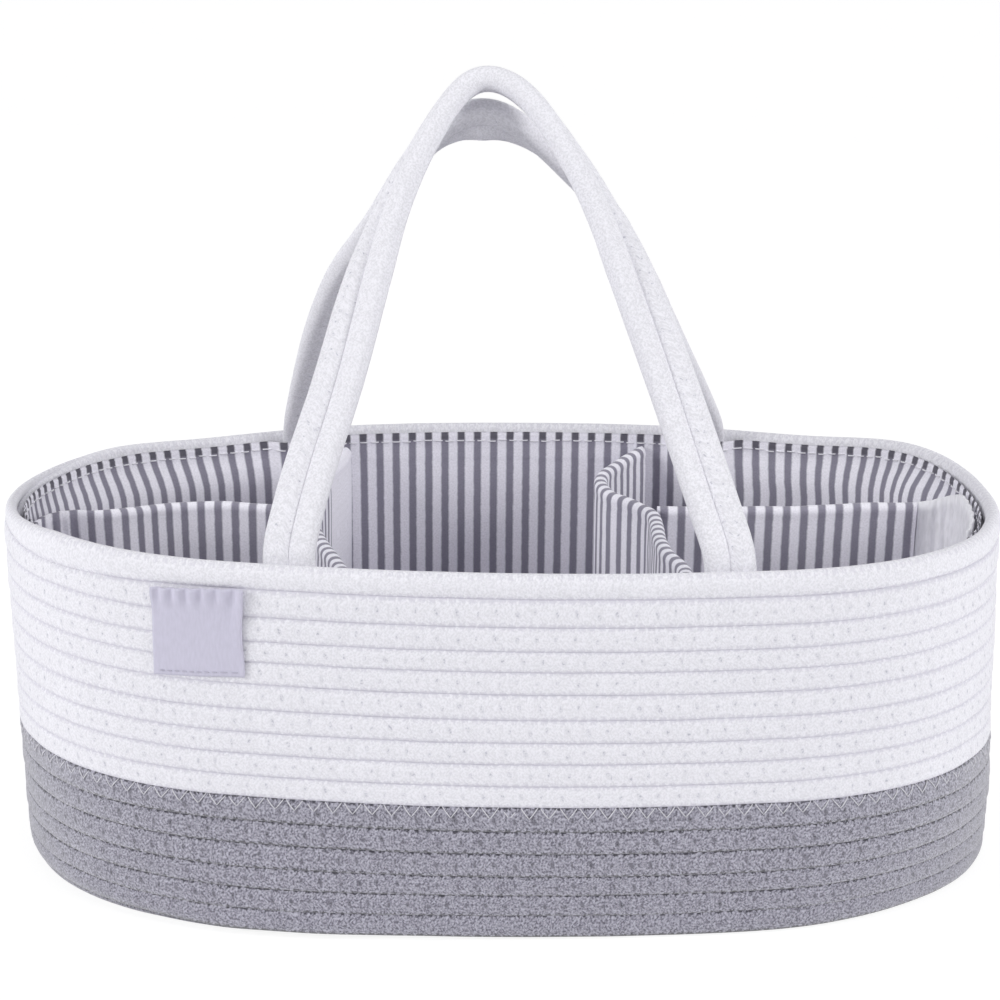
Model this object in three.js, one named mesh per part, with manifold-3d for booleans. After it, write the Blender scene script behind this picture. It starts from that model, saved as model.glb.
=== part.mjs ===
// Rope caddy: an oval basket sewn from one long rope, with a striped lining,
// two carrying handles and two lift-out dividers that make five compartments.
// Millimetres, +Z up, origin on the floor under the middle of the basket.
// +X is to the right and -Y is the front, where the label is.

import * as THREE from 'three';
import { mergeVertices } from 'three/addons/utils/BufferGeometryUtils.js';
import Module from 'manifold-3d';

const wasm = await Module();
wasm.setup();

// Basket
const basketLength = 380;
const basketWidth = 240;
const endRadius = 112;
const ropeHeight = 7.8;
const ropeThickness = 6.2;
const ropeFlatShare = 0.5;
const rowGap = 0.7;
const baseGap = 0.9;
const coreLateness = 2;
const greyRows = 6;
const whiteRows = 10;
const wallLeanShare = 0.05;
const stepsPerTurn = 24;
const stepsPerEnd = 8;
const ropeEndSteps = 4;
const ropeEndHeight = 1.6;
const ropeEndThickness = 2.4;
const firstStep = 14;
const seat = 0.3;

// Lining
const liningThickness = 1;
const liningGap = 0.7;
const hemDrop = 3.6;
const floorThickness = 1.2;

// Handles
const handleRope = 9.5;
const handleRopeGap = 0.4;
const handleSides = 8;
const handleSteps = 36;
const handleClearance = 2.4;
const handleLean = 32;
const frontHandleSpread = 78;
const frontHandleShift = 2;
const frontHandleSway = -9.5;
const frontHandleRise = 185.5;
const backHandleSpread = 82.5;
const backHandleShift = -1;
const backHandleSway = -10;
const backHandleRise = 169;
const frontShoulderShares = { across: 0.8, up: 0.39, crown: 0.41 };
const backShoulderShares = { across: 0.8, up: 0.38, crown: 0.46 };
const twistShares = { from: 0.25, to: 0.8 };

// Handle ends, pressed flat and sewn between the rope wall and the lining
const pressedThickness = 5.2;
const sewnDepth = 30;
const sewnGap = 0.5;
const pocketMargin = 0.8;
const pocketRamp = 3;

// Dividers
const dividerThickness = 5.4;
const dividerTop = 128;
const dividerSteps = 18;
const boardThickness = 2.4;
const boardGap = 0.3;
const boardInset = 7;
const wallClearance = 0.9;
const seamGap = 0.8;
const endThickShare = 0.7;
const levelShares = [
  { up: 0, thick: 0.85 },
  { up: 0.06, thick: 1 },
  { up: 0.5, thick: 1 },
  { up: 0.93, thick: 1 },
  { up: 0.985, thick: 0.75 },
  { up: 1, thick: 0.3 },
];

// Where the divider panels run. A cross panel's pairs go from the back wall (0) to the
// front one (1), and its places are shares of the way out to the handle's legs. A long
// panel's pairs go from the cross panel (0) to its tab (1), in shares of the half width.
const leftCrossShares = [
  [0, 0.803], [0.08, 0.825], [0.17, 0.878], [0.28, 0.929], [0.38, 0.954],
  [0.52, 0.931], [0.66, 0.871], [0.8, 0.785], [0.9, 0.738], [1, 0.713],
];
const rightCrossShares = [
  [0, 0.699], [0.09, 0.572], [0.2, 0.475], [0.31, 0.528], [0.39, 0.658], [0.48, 0.72],
  [0.6, 0.747], [0.72, 0.792], [0.83, 0.824], [0.92, 0.783], [1, 0.755],
];
const leftLongShares = [
  [0, 0.13], [0.2, 0.158], [0.45, 0.172], [0.66, 0.14], [0.85, 0.07], [0.95, 0.06], [1, 0.06],
];
const rightLongShares = [[0, 0.158], [0.5, 0.168], [1, 0.19]];

// Hook tabs and loop strips
const tabThickness = 1.2;
const tabReach = 17;
const tabHeight = 52;
const tabRise = 4;
const tabSteps = 10;
const tabOnWall = 61;
const tabBendShare = 0.5;
const stripThickness = 0.8;
const stripMargin = 5;

// Label
const labelWidth = 33;
const labelHeight = 33;
const labelThickness = 0.8;
const labelLeft = 125;
const labelDrop = 1.5;

// Worked out from the sizes above
const rowPitch = ropeHeight + rowGap;
const wallRows = greyRows + whiteRows;
const halfWidth = basketWidth / 2;
const straight = (basketLength - basketWidth) / 2;
const bowShare = 1 - endRadius / halfWidth;
const floorRopeZ = ropeThickness / 2;
const rowZ = turns => floorRopeZ + rowPitch * turns;
const rimZ = rowZ(wallRows - 1 / 2) + ropeHeight / 2;
const outside = z => halfWidth - wallLeanShare * (rimZ - z);
const ropeLine = z => outside(z) - ropeThickness / 2;
const liningOutside = z => outside(z) - ropeThickness - liningGap;
const liningInside = z => liningOutside(z) - liningThickness;
const floorTop = ropeThickness + seat + floorThickness;

const white = new THREE.Color('#f1f0f4');
const grey = new THREE.Color('#a3a1ae');
const striped = new THREE.Color('#b4b2c2');
const labelGrey = new THREE.Color('#d3d0de');
const plain = new THREE.Color('#e4e2ea');
const felt = new THREE.Color('#c9c8cf');

const part = new THREE.Group();

function addMesh(name, geometry, color, roughness = 0.9) {
  const material = new THREE.MeshStandardMaterial({ color, roughness, metalness: 0 });
  const mesh = new THREE.Mesh(geometry, material);
  mesh.name = name;
  part.add(mesh);
  return mesh;
}

// Plan outline of the basket
// An oval of four arcs. Its end arcs have a fixed share of the half width as radius, so
// the outlines nest inside each other from the rim down to the straight middle fold.
// Ends of more than half the width in radius meet straight sides at a corner.

function ovalArcs(half) {
  const end = half * (1 - bowShare);
  const centre = straight + half - end;
  const bow = Math.max(0, half - end);
  const sideBend = 2 * bow / (centre * centre + bow * (half + end));
  const join = end > half ? Math.asin(half / end) : Math.atan2(1 - half * sideBend, centre * sideBend);
  return { end, centre, sideBend, join };
}

function cornerPoint(half, step) {
  const arcs = ovalArcs(half);
  const around = THREE.MathUtils.euclideanModulo(step + stepsPerEnd / 2, stepsPerTurn);
  const halfTurn = around >= stepsPerTurn / 2;
  const within = halfTurn ? around - stepsPerTurn / 2 : around;
  const stepsPerSide = stepsPerTurn / 2 - stepsPerEnd;
  const point = new THREE.Vector2();
  if (within <= stepsPerEnd) {
    const angle = arcs.join * (1 - 2 * within / stepsPerEnd);
    point.set(arcs.centre + arcs.end * Math.cos(angle), arcs.end * Math.sin(angle));
  } else {
    const joinX = arcs.centre + arcs.end * Math.cos(arcs.join);
    const x = joinX * (1 - 2 * (within - stepsPerEnd) / stepsPerSide);
    const rise = arcs.sideBend * x * x / (1 + Math.sqrt(1 - (arcs.sideBend * x) ** 2));
    point.set(x, rise - half);
  }
  return halfTurn ? point.negate() : point;
}

// A point on the faceted outline, between its corners
function outlinePoint(half, step) {
  const low = Math.floor(step);
  return cornerPoint(half, low).lerp(cornerPoint(half, low + 1), step - low);
}

// The step at which the front or back of an outline stands at a given x
function stepAtX(half, x, front) {
  const middle = (front ? 1 : 3) * stepsPerTurn / 4;
  for (let step = middle - stepsPerTurn / 4; step < middle + stepsPerTurn / 4; step++) {
    const a = cornerPoint(half, step).x;
    const b = cornerPoint(half, step + 1).x;
    if ((a - x) * (b - x) <= 0 && a !== b) return step + (x - a) / (b - a);
  }
  throw new Error(`no outline at x = ${x}`);
}

// The step at which the left or right end of an outline stands at a given y
function stepAtY(half, y, left) {
  const middle = left ? stepsPerTurn / 2 : 0;
  for (let step = middle - stepsPerTurn / 4; step < middle + stepsPerTurn / 4; step++) {
    const a = cornerPoint(half, step).y;
    const b = cornerPoint(half, step + 1).y;
    if ((a - y) * (b - y) <= 0 && a !== b) return step + (y - a) / (b - a);
  }
  throw new Error(`no outline at y = ${y}`);
}

// Height of the rim above the floor at a step, where the last row of rope runs out
function rimTop(step) {
  const share = THREE.MathUtils.euclideanModulo(step - firstStep, stepsPerTurn) / stepsPerTurn;
  const fade = 1 - ropeEndSteps / stepsPerTurn;
  const level = share <= fade ? share : fade * (1 - share) / (1 - fade);
  return rowZ(wallRows - 1 + level) + ropeHeight / 2;
}

// Solids from rings of points
// Each ring has an even number of points, in order round the section, and point i
// faces point n - 1 - i across it, which is how the two ends are closed.

function ringSolid(rings, closed = false) {
  const count = rings[0].length;
  const positions = [];
  const index = [];
  rings.forEach(ring => ring.forEach(p => positions.push(p.x, p.y, p.z)));
  const spans = closed ? rings.length : rings.length - 1;
  for (let i = 0; i < spans; i++) {
    const here = i * count;
    const next = ((i + 1) % rings.length) * count;
    for (let j = 0; j < count; j++) {
      const k = (j + 1) % count;
      index.push(here + j, here + k, next + k, here + j, next + k, next + j);
    }
  }
  if (!closed) {
    const last = (rings.length - 1) * count;
    for (let j = 0; j < count / 2 - 1; j++) {
      const a = j;
      const b = j + 1;
      const c = count - 2 - j;
      const d = count - 1 - j;
      index.push(a, c, b, a, d, c);
      index.push(last + a, last + b, last + c, last + a, last + c, last + d);
    }
  }
  const geometry = new THREE.BufferGeometry();
  geometry.setAttribute('position', new THREE.Float32BufferAttribute(positions, 3));
  geometry.setIndex(index);
  return facingOut(geometry);
}

function facingOut(geometry) {
  const p = geometry.attributes.position;
  const index = geometry.index.array;
  const [a, b, c] = [new THREE.Vector3(), new THREE.Vector3(), new THREE.Vector3()];
  let volume = 0;
  for (let i = 0; i < index.length; i += 3) {
    a.fromBufferAttribute(p, index[i]);
    b.fromBufferAttribute(p, index[i + 1]);
    c.fromBufferAttribute(p, index[i + 2]);
    volume += a.dot(b.cross(c));
  }
  if (volume < 0) {
    for (let i = 0; i < index.length; i += 3) {
      [index[i], index[i + 1]] = [index[i + 1], index[i]];
    }
  }
  geometry.computeVertexNormals();
  return geometry;
}

function toManifold(geometry) {
  const bare = new THREE.BufferGeometry();
  bare.setAttribute('position', geometry.attributes.position.clone());
  bare.setIndex(geometry.index.clone());
  const merged = mergeVertices(bare);
  return new wasm.Manifold(new wasm.Mesh({
    numProp: 3,
    vertProperties: new Float32Array(merged.attributes.position.array),
    triVerts: new Uint32Array(merged.index.array),
  }));
}

function fromManifold(solid) {
  const mesh = solid.getMesh();
  const geometry = new THREE.BufferGeometry();
  geometry.setAttribute('position', new THREE.BufferAttribute(new Float32Array(mesh.vertProperties), 3));
  geometry.setIndex(new THREE.BufferAttribute(new Uint32Array(mesh.triVerts), 1));
  geometry.computeVertexNormals();
  return geometry;
}

// Rope
// The section has six sides: a blunt tip towards each neighbouring turn and a flat on
// each face of the wall, so the base rests on the floor on the flats of its own rope.

const ropeSection = [
  [1, 0],
  [ropeFlatShare, 1],
  [-ropeFlatShare, 1],
  [-1, 0],
  [-ropeFlatShare, -1],
  [ropeFlatShare, -1],
];

const wallStartLine = ropeLine(floorRopeZ);
const coreShare = 1 / 12;
const baseTurns = Math.floor(wallStartLine / (ropeHeight + baseGap) - 1 / 2);
const basePitch = wallStartLine / (baseTurns + 1 / 2);

// Where the rope's middle runs after a number of turns, counted from the foot of the
// wall. Under it the base winds outwards from a straight fold. Its turns creep out
// slowly and then fast, on a quarter circle, so that the wall can climb at a steady
// rate from the last of them, and the first turns creep the latest.
function ropeStation(turns) {
  const step = firstStep + turns * stepsPerTurn;
  if (turns <= 0) {
    const turn = Math.floor(turns);
    const power = 1 + coreLateness * (-1 - turn) / (baseTurns - 1);
    const share = Math.pow(turns - turn, power);
    const creep = 1 - Math.sqrt(1 - share * share);
    return { step, half: wallStartLine + basePitch * (turn + creep), z: floorRopeZ, roll: 0 };
  }
  const roll = turns < 1 ? Math.asin(turns) : Math.PI / 2;
  return { step, half: ropeLine(rowZ(turns)), z: rowZ(turns), roll };
}

function ropeRing(turns) {
  const { step, half, z, roll } = ropeStation(turns);
  const left = Math.max(0, turns - (wallRows - ropeEndSteps / stepsPerTurn));
  const fade = left * stepsPerTurn / ropeEndSteps;
  const halfHeight = THREE.MathUtils.lerp(ropeHeight, ropeEndHeight, fade) / 2;
  const halfThickness = THREE.MathUtils.lerp(ropeThickness, ropeEndThickness, fade) / 2;
  const centreZ = z - (ropeHeight / 2 - halfHeight);
  const middle = outlinePoint(half, step);
  const outward = outlinePoint(half + ropeHeight, step).sub(middle).divideScalar(ropeHeight);
  return ropeSection.map(([along, across]) => {
    const out = along * halfHeight * Math.cos(roll) - across * halfThickness * Math.sin(roll);
    const up = along * halfHeight * Math.sin(roll) + across * halfThickness * Math.cos(roll);
    return new THREE.Vector3(middle.x + outward.x * out, middle.y + outward.y * out, centreZ + up);
  });
}

function ropeRings(fromTurns, toTurns, fromTrim, toTrim) {
  const rings = [];
  const steps = Math.round((toTurns - fromTurns) * stepsPerTurn);
  for (let i = 0; i <= steps; i++) {
    const trim = i === 0 ? fromTrim : i === steps ? -toTrim : 0;
    rings.push(ropeRing(fromTurns + (i + trim) / stepsPerTurn));
  }
  return rings;
}

// Least distance between the points of one turn of rope and the next
function leastGap(rings) {
  let least = Infinity;
  const apart = stepsPerTurn / 2;
  for (let i = 0; i < rings.length; i++) {
    for (let j = i + apart; j < Math.min(rings.length, i + stepsPerTurn + 2); j++) {
      rings[i].forEach(a => rings[j].forEach(b => {
        least = Math.min(least, a.distanceTo(b));
      }));
    }
  }
  return least;
}

// The two ropes meet end to end, a seat apart, where the grey rows stop.
const spliceStepLength = cornerPoint(wallStartLine, firstStep)
  .distanceTo(cornerPoint(wallStartLine, firstStep + 1));
const spliceTrim = seat / 2 / spliceStepLength;
const coreStart = -baseTurns + coreShare;

const greyRings = ropeRings(coreStart, greyRows, 0, spliceTrim);
const whiteRings = ropeRings(greyRows, wallRows, spliceTrim, 0);
console.log('least gap of the grey rope to itself, mm:', leastGap(greyRings).toFixed(2));
console.log('least gap of the white rope to itself, mm:', leastGap(whiteRings).toFixed(2));
addMesh('grey_rope_coil', ringSolid(greyRings), grey, 0.95);
addMesh('white_rope_coil', ringSolid(whiteRings), white, 0.95);

// Handle geometry that the lining and the sewn-in ends share

const frontStep = stepsPerTurn / 4;
const backStep = 3 * stepsPerTurn / 4;

function handleFrame(front) {
  const spread = front ? frontHandleSpread : backHandleSpread;
  const shift = front ? frontHandleShift : backHandleShift;
  const rimRowZ = rimTop(front ? frontStep : backStep) - ropeHeight / 2;
  const legStep = stepAtX(ropeLine(rimRowZ), spread, front);
  const inward = front ? 1 : -1;
  return {
    front,
    spread,
    shift,
    inward,
    sway: front ? frontHandleSway : backHandleSway,
    rise: front ? frontHandleRise : backHandleRise,
    shares: front ? frontShoulderShares : backShoulderShares,
    axisY: outlinePoint(ropeLine(rimRowZ), legStep).y,
    axisZ: rimRowZ,
    roll: ropeHeight / 2 + handleClearance + handleRope / 2,
    lean: THREE.MathUtils.degToRad(handleLean),
  };
}

// A point of the handle's plane: across along X, up the lean, and out of the plane
function handlePoint(frame, across, up, out = 0) {
  const { inward, lean, roll } = frame;
  const y = inward * (roll * Math.cos(lean) + up * Math.sin(lean) - out * Math.cos(lean));
  const z = roll * Math.sin(lean) + up * Math.cos(lean) + out * Math.sin(lean);
  return new THREE.Vector3(across, frame.axisY + y, frame.axisZ + z);
}

const frontFrame = handleFrame(true);
const backFrame = handleFrame(false);
const strapHalf = handleRope + handleRopeGap / 2;
const pocketHalf = strapHalf + pocketMargin;
const pocketDepth = sewnGap + pressedThickness + seat - liningGap;
const legs = [frontFrame, backFrame].flatMap(frame => [-1, 1].map(side => ({
  frame,
  side,
  x: frame.shift + side * frame.spread,
})));

// Wall lining
// A thin ring that follows the rope wall up to its hem under the rim, with a shallow
// pocket over each sewn-in end of the handles.

function pocketShare(step, leg) {
  const point = outlinePoint(pocketLine, step);
  const across = point.y * leg.frame.inward < 0 ? Math.abs(point.x - leg.x) : Infinity;
  return THREE.MathUtils.clamp((pocketHalf + pocketRamp - across) / pocketRamp, 0, 1);
}

const pocketLine = liningOutside(rimZ) - pocketDepth;
const liningSteps = [...Array(stepsPerTurn).keys()]
  .filter(step => legs.every(leg => pocketShare(step, leg) < 1));
for (const leg of legs) {
  for (const reach of [-pocketHalf - pocketRamp, -pocketHalf, pocketHalf, pocketHalf + pocketRamp]) {
    const turned = stepAtX(pocketLine, leg.x + reach, leg.frame.front);
    liningSteps.push(THREE.MathUtils.euclideanModulo(turned, stepsPerTurn));
  }
}
liningSteps.sort((a, b) => a - b);

const liningBottom = ropeThickness + seat;
const pocketBottom = rimZ - hemDrop - sewnDepth;

function liningDepth(step, z) {
  const over = THREE.MathUtils.clamp((z - pocketBottom) / pocketRamp + 1, 0, 1);
  const across = Math.max(...legs.map(leg => pocketShare(step, leg)));
  return pocketDepth * over * across;
}

function liningRing(step) {
  const top = rimTop(step) - hemDrop;
  const levels = [liningBottom, pocketBottom - pocketRamp, pocketBottom, top];
  const place = (half, z) => {
    const p = outlinePoint(half, step);
    return new THREE.Vector3(p.x, p.y, z);
  };
  const outer = levels.map(z => place(liningOutside(z) - liningDepth(step, z), z));
  const inner = levels.map(z => place(liningInside(z) - liningDepth(step, z), z));
  return [...outer, ...inner.reverse()];
}

addMesh('wall_lining', ringSolid(liningSteps.map(liningRing), true), striped);

// Floor lining, laid on the rope base inside the foot of the wall lining

function floorGeometry() {
  const half = liningInside(liningBottom) - seat;
  const corners = [...Array(stepsPerTurn).keys()].map(step => cornerPoint(half, step));
  const shape = new THREE.Shape(corners);
  const geometry = new THREE.ExtrudeGeometry(shape, { depth: floorThickness, bevelEnabled: false });
  return geometry.translate(0, 0, liningBottom);
}

addMesh('floor_lining', floorGeometry(), striped);

// Sewn-in handle ends
// Each is the strap's two ropes, pressed flat behind the lining and swelling to full
// thickness at the cut where the moving part of the strap begins.

const strapShares = [[-1, 0.38], [-0.82, 0.85], [-0.5, 1], [0, 0.62], [0.5, 1], [0.82, 0.85], [1, 0.38]];

function strapRing(centre, alongWidth, alongThickness, halfThickness) {
  const place = ([across, thick], side) => centre.clone()
    .addScaledVector(alongWidth, across * strapHalf)
    .addScaledVector(alongThickness, side * thick * halfThickness);
  const face = strapShares.map(share => place(share, 1));
  const back = strapShares.map(share => place(share, -1)).reverse();
  return [...face, ...back];
}

function pocketRing(leg, z) {
  const half = outside(z) - ropeThickness - sewnGap - pressedThickness / 2;
  const [left, right] = [-strapHalf, strapHalf].map(reach =>
    outlinePoint(half, stepAtX(half, leg.x + reach, leg.frame.front)));
  const facet = right.clone().sub(left).normalize();
  const middle = left.lerp(right, 1 / 2);
  const centre = new THREE.Vector3(middle.x, middle.y, z);
  const width = new THREE.Vector3(facet.x, facet.y, 0);
  const inward = new THREE.Vector3(-facet.y, facet.x, 0).multiplyScalar(leg.frame.inward);
  return strapRing(centre, width, inward, pressedThickness / 2);
}

function handleEnd(leg) {
  const { frame, x } = leg;
  const hem = rimTop(stepAtX(pocketLine, x, frame.front)) - hemDrop + seat;
  const cut = handlePoint(frame, x, -seat);
  const width = new THREE.Vector3(1, 0, 0);
  const thick = handlePoint(frame, x, 0, -1).sub(handlePoint(frame, x, 0));
  return ringSolid([
    pocketRing(leg, pocketBottom + seat),
    pocketRing(leg, hem),
    strapRing(cut, width, thick, handleRope / 2),
  ]);
}

for (const leg of legs) {
  const name = `${leg.frame.front ? 'front' : 'back'}_${leg.side < 0 ? 'left' : 'right'}_handle_end`;
  addMesh(name, handleEnd(leg), white);
}

// Handles
// A handle is a strap of two ropes sewn side by side. It starts at the cut of its two
// sewn-in ends. The front strap turns on edge towards its crown, the back one doesn't.

function bezier(a, b, c, d, t) {
  const u = 1 - t;
  return u * u * u * a + 3 * u * u * t * b + 3 * u * t * t * c + t * t * t * d;
}

// Middle of the strap in the handle's plane, from the left rim (-1) to the right (1)
function strapMiddle(frame, place) {
  const { spread, rise, shares, shift, sway } = frame;
  const t = 1 - Math.abs(place);
  const across = bezier(spread, spread * shares.across, spread * shares.crown, 0, t);
  const up = bezier(0, rise * shares.up, rise, rise, t);
  const middle = THREE.MathUtils.lerp(shift, sway, up / rise);
  return new THREE.Vector3(middle + Math.sign(place) * across, up, 0);
}

function strapFrame(frame, place) {
  const ahead = strapMiddle(frame, Math.min(1, place + 1 / handleSteps));
  const behind = strapMiddle(frame, Math.max(-1, place - 1 / handleSteps));
  const along = ahead.sub(behind).normalize();
  if (Math.abs(place) === 1) along.set(0, -place, 0);
  const outward = new THREE.Vector3(-along.y, along.x, 0);
  const turn = frame.front
    ? THREE.MathUtils.smoothstep(1 - Math.abs(place), twistShares.from, twistShares.to) * Math.PI / 2
    : 0;
  const width = outward.multiplyScalar(Math.cos(turn)).add(new THREE.Vector3(0, 0, -Math.sin(turn)));
  const thick = new THREE.Vector3().crossVectors(along, width);
  return { middle: strapMiddle(frame, place), width, thick };
}

function handleRopeGeometry(frame, outer) {
  const offset = (handleRope + handleRopeGap) / 2 * (outer ? 1 : -1);
  const rings = [];
  for (let i = 0; i <= handleSteps; i++) {
    const { middle, width, thick } = strapFrame(frame, 2 * i / handleSteps - 1);
    const ring = [];
    for (let j = 0; j < handleSides; j++) {
      const angle = (j + 1 / 2) * 2 * Math.PI / handleSides;
      const p = middle.clone()
        .addScaledVector(width, offset + Math.cos(angle) * handleRope / 2)
        .addScaledVector(thick, Math.sin(angle) * handleRope / 2);
      ring.push(handlePoint(frame, p.x, p.y, p.z));
    }
    rings.push(ring);
  }
  return ringSolid(rings);
}

for (const frame of [frontFrame, backFrame]) {
  const name = frame.front ? 'front_handle' : 'back_handle';
  addMesh(`${name}_outer_rope`, handleRopeGeometry(frame, true), white);
  addMesh(`${name}_inner_rope`, handleRopeGeometry(frame, false), white);
}

// Dividers
// Each side has a panel across the basket and one along it, sewn together in a T. A
// panel is a padded cover over a stiff board.

const dividerFoot = floorTop + seat;
const dividerHeight = dividerTop - dividerFoot;

// A smooth curve through a table of shares
function through(table, place) {
  const last = table.length - 1;
  let i = 0;
  while (i < last - 1 && place > table[i + 1][0]) i++;
  const slope = k => {
    const a = table[Math.max(0, k - 1)];
    const b = table[Math.min(last, k + 1)];
    return (b[1] - a[1]) / (b[0] - a[0]);
  };
  const [a, b] = [table[i], table[i + 1]];
  const span = b[0] - a[0];
  const t = (place - a[0]) / span;
  return bezier(a[1], a[1] + slope(i) * span / 3, b[1] - slope(i + 1) * span / 3, b[1], t);
}

// Where a cross panel's middle runs, from the back wall (0) to the front wall (1)
function crossX(side, place) {
  const table = side < 0 ? leftCrossShares : rightCrossShares;
  const [front, back] = [frontFrame, backFrame].map(frame => frame.shift + side * frame.spread);
  return through(table, place) * THREE.MathUtils.lerp(back, front, place);
}

function crossMiddle(side, place, z) {
  const half = liningInside(z);
  const wallY = (end, front) => outlinePoint(half, stepAtX(half, crossX(side, end), front)).y;
  const y = THREE.MathUtils.lerp(wallY(0, false) - wallClearance, wallY(1, true) + wallClearance, place);
  return new THREE.Vector2(crossX(side, place), y);
}

function crossAtY(side, y, z) {
  const back = crossMiddle(side, 0, z).y;
  const front = crossMiddle(side, 1, z).y;
  return crossX(side, (y - back) / (front - back));
}

// Where a long panel's middle runs, from the cross panel (0) to its end tab (1)
function longMiddle(side, place, z) {
  const table = side < 0 ? leftLongShares : rightLongShares;
  const startY = table[0][1] * halfWidth;
  const startX = crossAtY(side, startY, z) + side * (dividerThickness / 2 + seamGap);
  const endY = table[table.length - 1][1] * halfWidth;
  const half = liningInside(z) - tabReach;
  const endX = outlinePoint(half, stepAtY(half, endY, side < 0)).x;
  return new THREE.Vector2(THREE.MathUtils.lerp(startX, endX, place), through(table, place) * halfWidth);
}

// A panel from rings along its middle line. The inset keeps its ends and top back.
function panelSolid(middleAt, steps, thickness, inset, foot, crowned) {
  const length = middleAt(0, dividerTop).distanceTo(middleAt(1, dividerTop));
  const insetShare = inset / length;
  const rings = [];
  for (let i = 0; i <= steps; i++) {
    const place = THREE.MathUtils.lerp(insetShare, 1 - insetShare, i / steps);
    const ends = crowned && (i === 0 || i === steps) ? endThickShare : 1;
    const levels = crowned ? levelShares : [{ up: 0, thick: 1 }, { up: 1, thick: 1 }];
    const sides = [1, -1].map(side => levels.map(({ up, thick }) => {
      const z = THREE.MathUtils.lerp(foot, dividerTop - inset, up);
      const wallZ = Math.max(z, dividerFoot);
      const middle = middleAt(place, wallZ);
      const along = middleAt(Math.min(1, place + 1 / steps), wallZ)
        .sub(middleAt(Math.max(0, place - 1 / steps), wallZ)).normalize();
      const reach = side * thick * ends * thickness / 2;
      return new THREE.Vector3(middle.x - along.y * reach, middle.y + along.x * reach, z);
    }));
    rings.push([...sides[0], ...sides[1].reverse()]);
  }
  return ringSolid(rings);
}

// A padded cover with the room for its board, open along the bottom seam
function coverGeometry(middleAt, steps) {
  const body = toManifold(panelSolid(middleAt, steps, dividerThickness, 0, dividerFoot, true));
  const room = panelSolid(
    middleAt, steps, boardThickness + 2 * boardGap, boardInset - boardGap,
    dividerFoot - dividerThickness, false,
  );
  return fromManifold(body.subtract(toManifold(room)));
}

function boardGeometry(middleAt, steps) {
  return panelSolid(middleAt, steps, boardThickness, boardInset, dividerFoot + seat, false);
}

// How many steps of an end wall a length along it takes
function stepsAlong(half, length) {
  return length / cornerPoint(half, 0).distanceTo(cornerPoint(half, 1));
}

// Hook tab: a plain flap that carries the long panel's end on to the wall
function tabGeometry(side) {
  const table = side < 0 ? leftLongShares : rightLongShares;
  const endY = table[table.length - 1][1] * halfWidth;
  const onWall = 2 * seat + stripThickness + tabThickness / 2;
  const inset = place => {
    const left = 1 - Math.min(1, place / tabBendShare);
    return THREE.MathUtils.lerp(onWall, tabReach - seat, left * left);
  };
  const middleAt = (place, z) => {
    const half = liningInside(z) - inset(place);
    const start = stepAtY(half, endY, side < 0);
    const onWallSteps = stepsAlong(liningInside(dividerTop), tabOnWall);
    return outlinePoint(half, start + side * onWallSteps * place * place);
  };
  const rings = [];
  for (let i = 0; i <= tabSteps; i++) {
    const place = i / tabSteps;
    const top = dividerTop + tabRise * THREE.MathUtils.smoothstep(place, 0, tabBendShare);
    const bottom = dividerTop - tabHeight;
    const sides = [1, -1].map(face => [bottom, top].map(z => {
      const middle = middleAt(place, z);
      const along = middleAt(Math.min(1, place + 1 / tabSteps), z)
        .sub(middleAt(Math.max(0, place - 1 / tabSteps), z)).normalize();
      const reach = face * tabThickness / 2;
      return new THREE.Vector3(middle.x - along.y * reach, middle.y + along.x * reach, z);
    }));
    rings.push([...sides[0], ...sides[1].reverse()]);
  }
  return ringSolid(rings);
}

// A thin plate that follows the wall between two steps
function wallPlate(fromStep, toStep, bottomAt, topAt, halfAt, thickness) {
  const stations = [fromStep];
  for (let step = Math.floor(fromStep) + 1; step < toStep; step++) stations.push(step);
  stations.push(toStep);
  return ringSolid(stations.map(step => {
    const levels = [bottomAt(step), topAt(step)];
    const place = (half, z) => {
      const p = outlinePoint(half, step);
      return new THREE.Vector3(p.x, p.y, z);
    };
    const outer = levels.map(z => place(halfAt(z), z));
    const inner = levels.map(z => place(halfAt(z) - thickness, z));
    return [...outer, ...inner.reverse()];
  }));
}

// Loop strip: sewn on the wall lining behind the tab
function stripGeometry(side) {
  const table = side < 0 ? leftLongShares : rightLongShares;
  const endY = table[table.length - 1][1] * halfWidth;
  const start = stepAtY(liningInside(dividerTop), endY, side < 0);
  const last = start + side * stepsAlong(liningInside(dividerTop), tabOnWall);
  const first = (start + last) / 2;
  const bottom = () => dividerTop - tabHeight + stripMargin;
  const top = () => dividerTop - stripMargin;
  const half = z => liningInside(z) - seat;
  return wallPlate(Math.min(first, last), Math.max(first, last), bottom, top, half, stripThickness);
}

for (const side of [-1, 1]) {
  const name = side < 0 ? 'left' : 'right';
  const cross = (place, z) => crossMiddle(side, place, z);
  const long = (place, z) => longMiddle(side, place, z);
  addMesh(`${name}_cross_divider_cover`, coverGeometry(cross, dividerSteps), striped);
  addMesh(`${name}_cross_divider_board`, boardGeometry(cross, dividerSteps), felt);
  addMesh(`${name}_long_divider_cover`, coverGeometry(long, dividerSteps / 2), striped);
  addMesh(`${name}_long_divider_board`, boardGeometry(long, dividerSteps / 2), felt);
  addMesh(`${name}_hook_tab`, tabGeometry(side), plain);
  addMesh(`${name}_loop_strip`, stripGeometry(side), plain);
}

// Label: a bare woven patch, sewn under the rim at the front left

function labelGeometry() {
  const line = outside(rimZ);
  const left = stepAtX(line, -labelLeft, true);
  const right = stepAtX(line, labelWidth - labelLeft, true);
  const top = step => rimTop(step) - ropeHeight - labelDrop;
  const bottom = step => top(step) - labelHeight;
  const half = z => outside(z) + seat + labelThickness;
  return wallPlate(right, left, bottom, top, half, labelThickness);
}

addMesh('side_label', labelGeometry(), labelGrey);

export default part;
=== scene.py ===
import math

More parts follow.
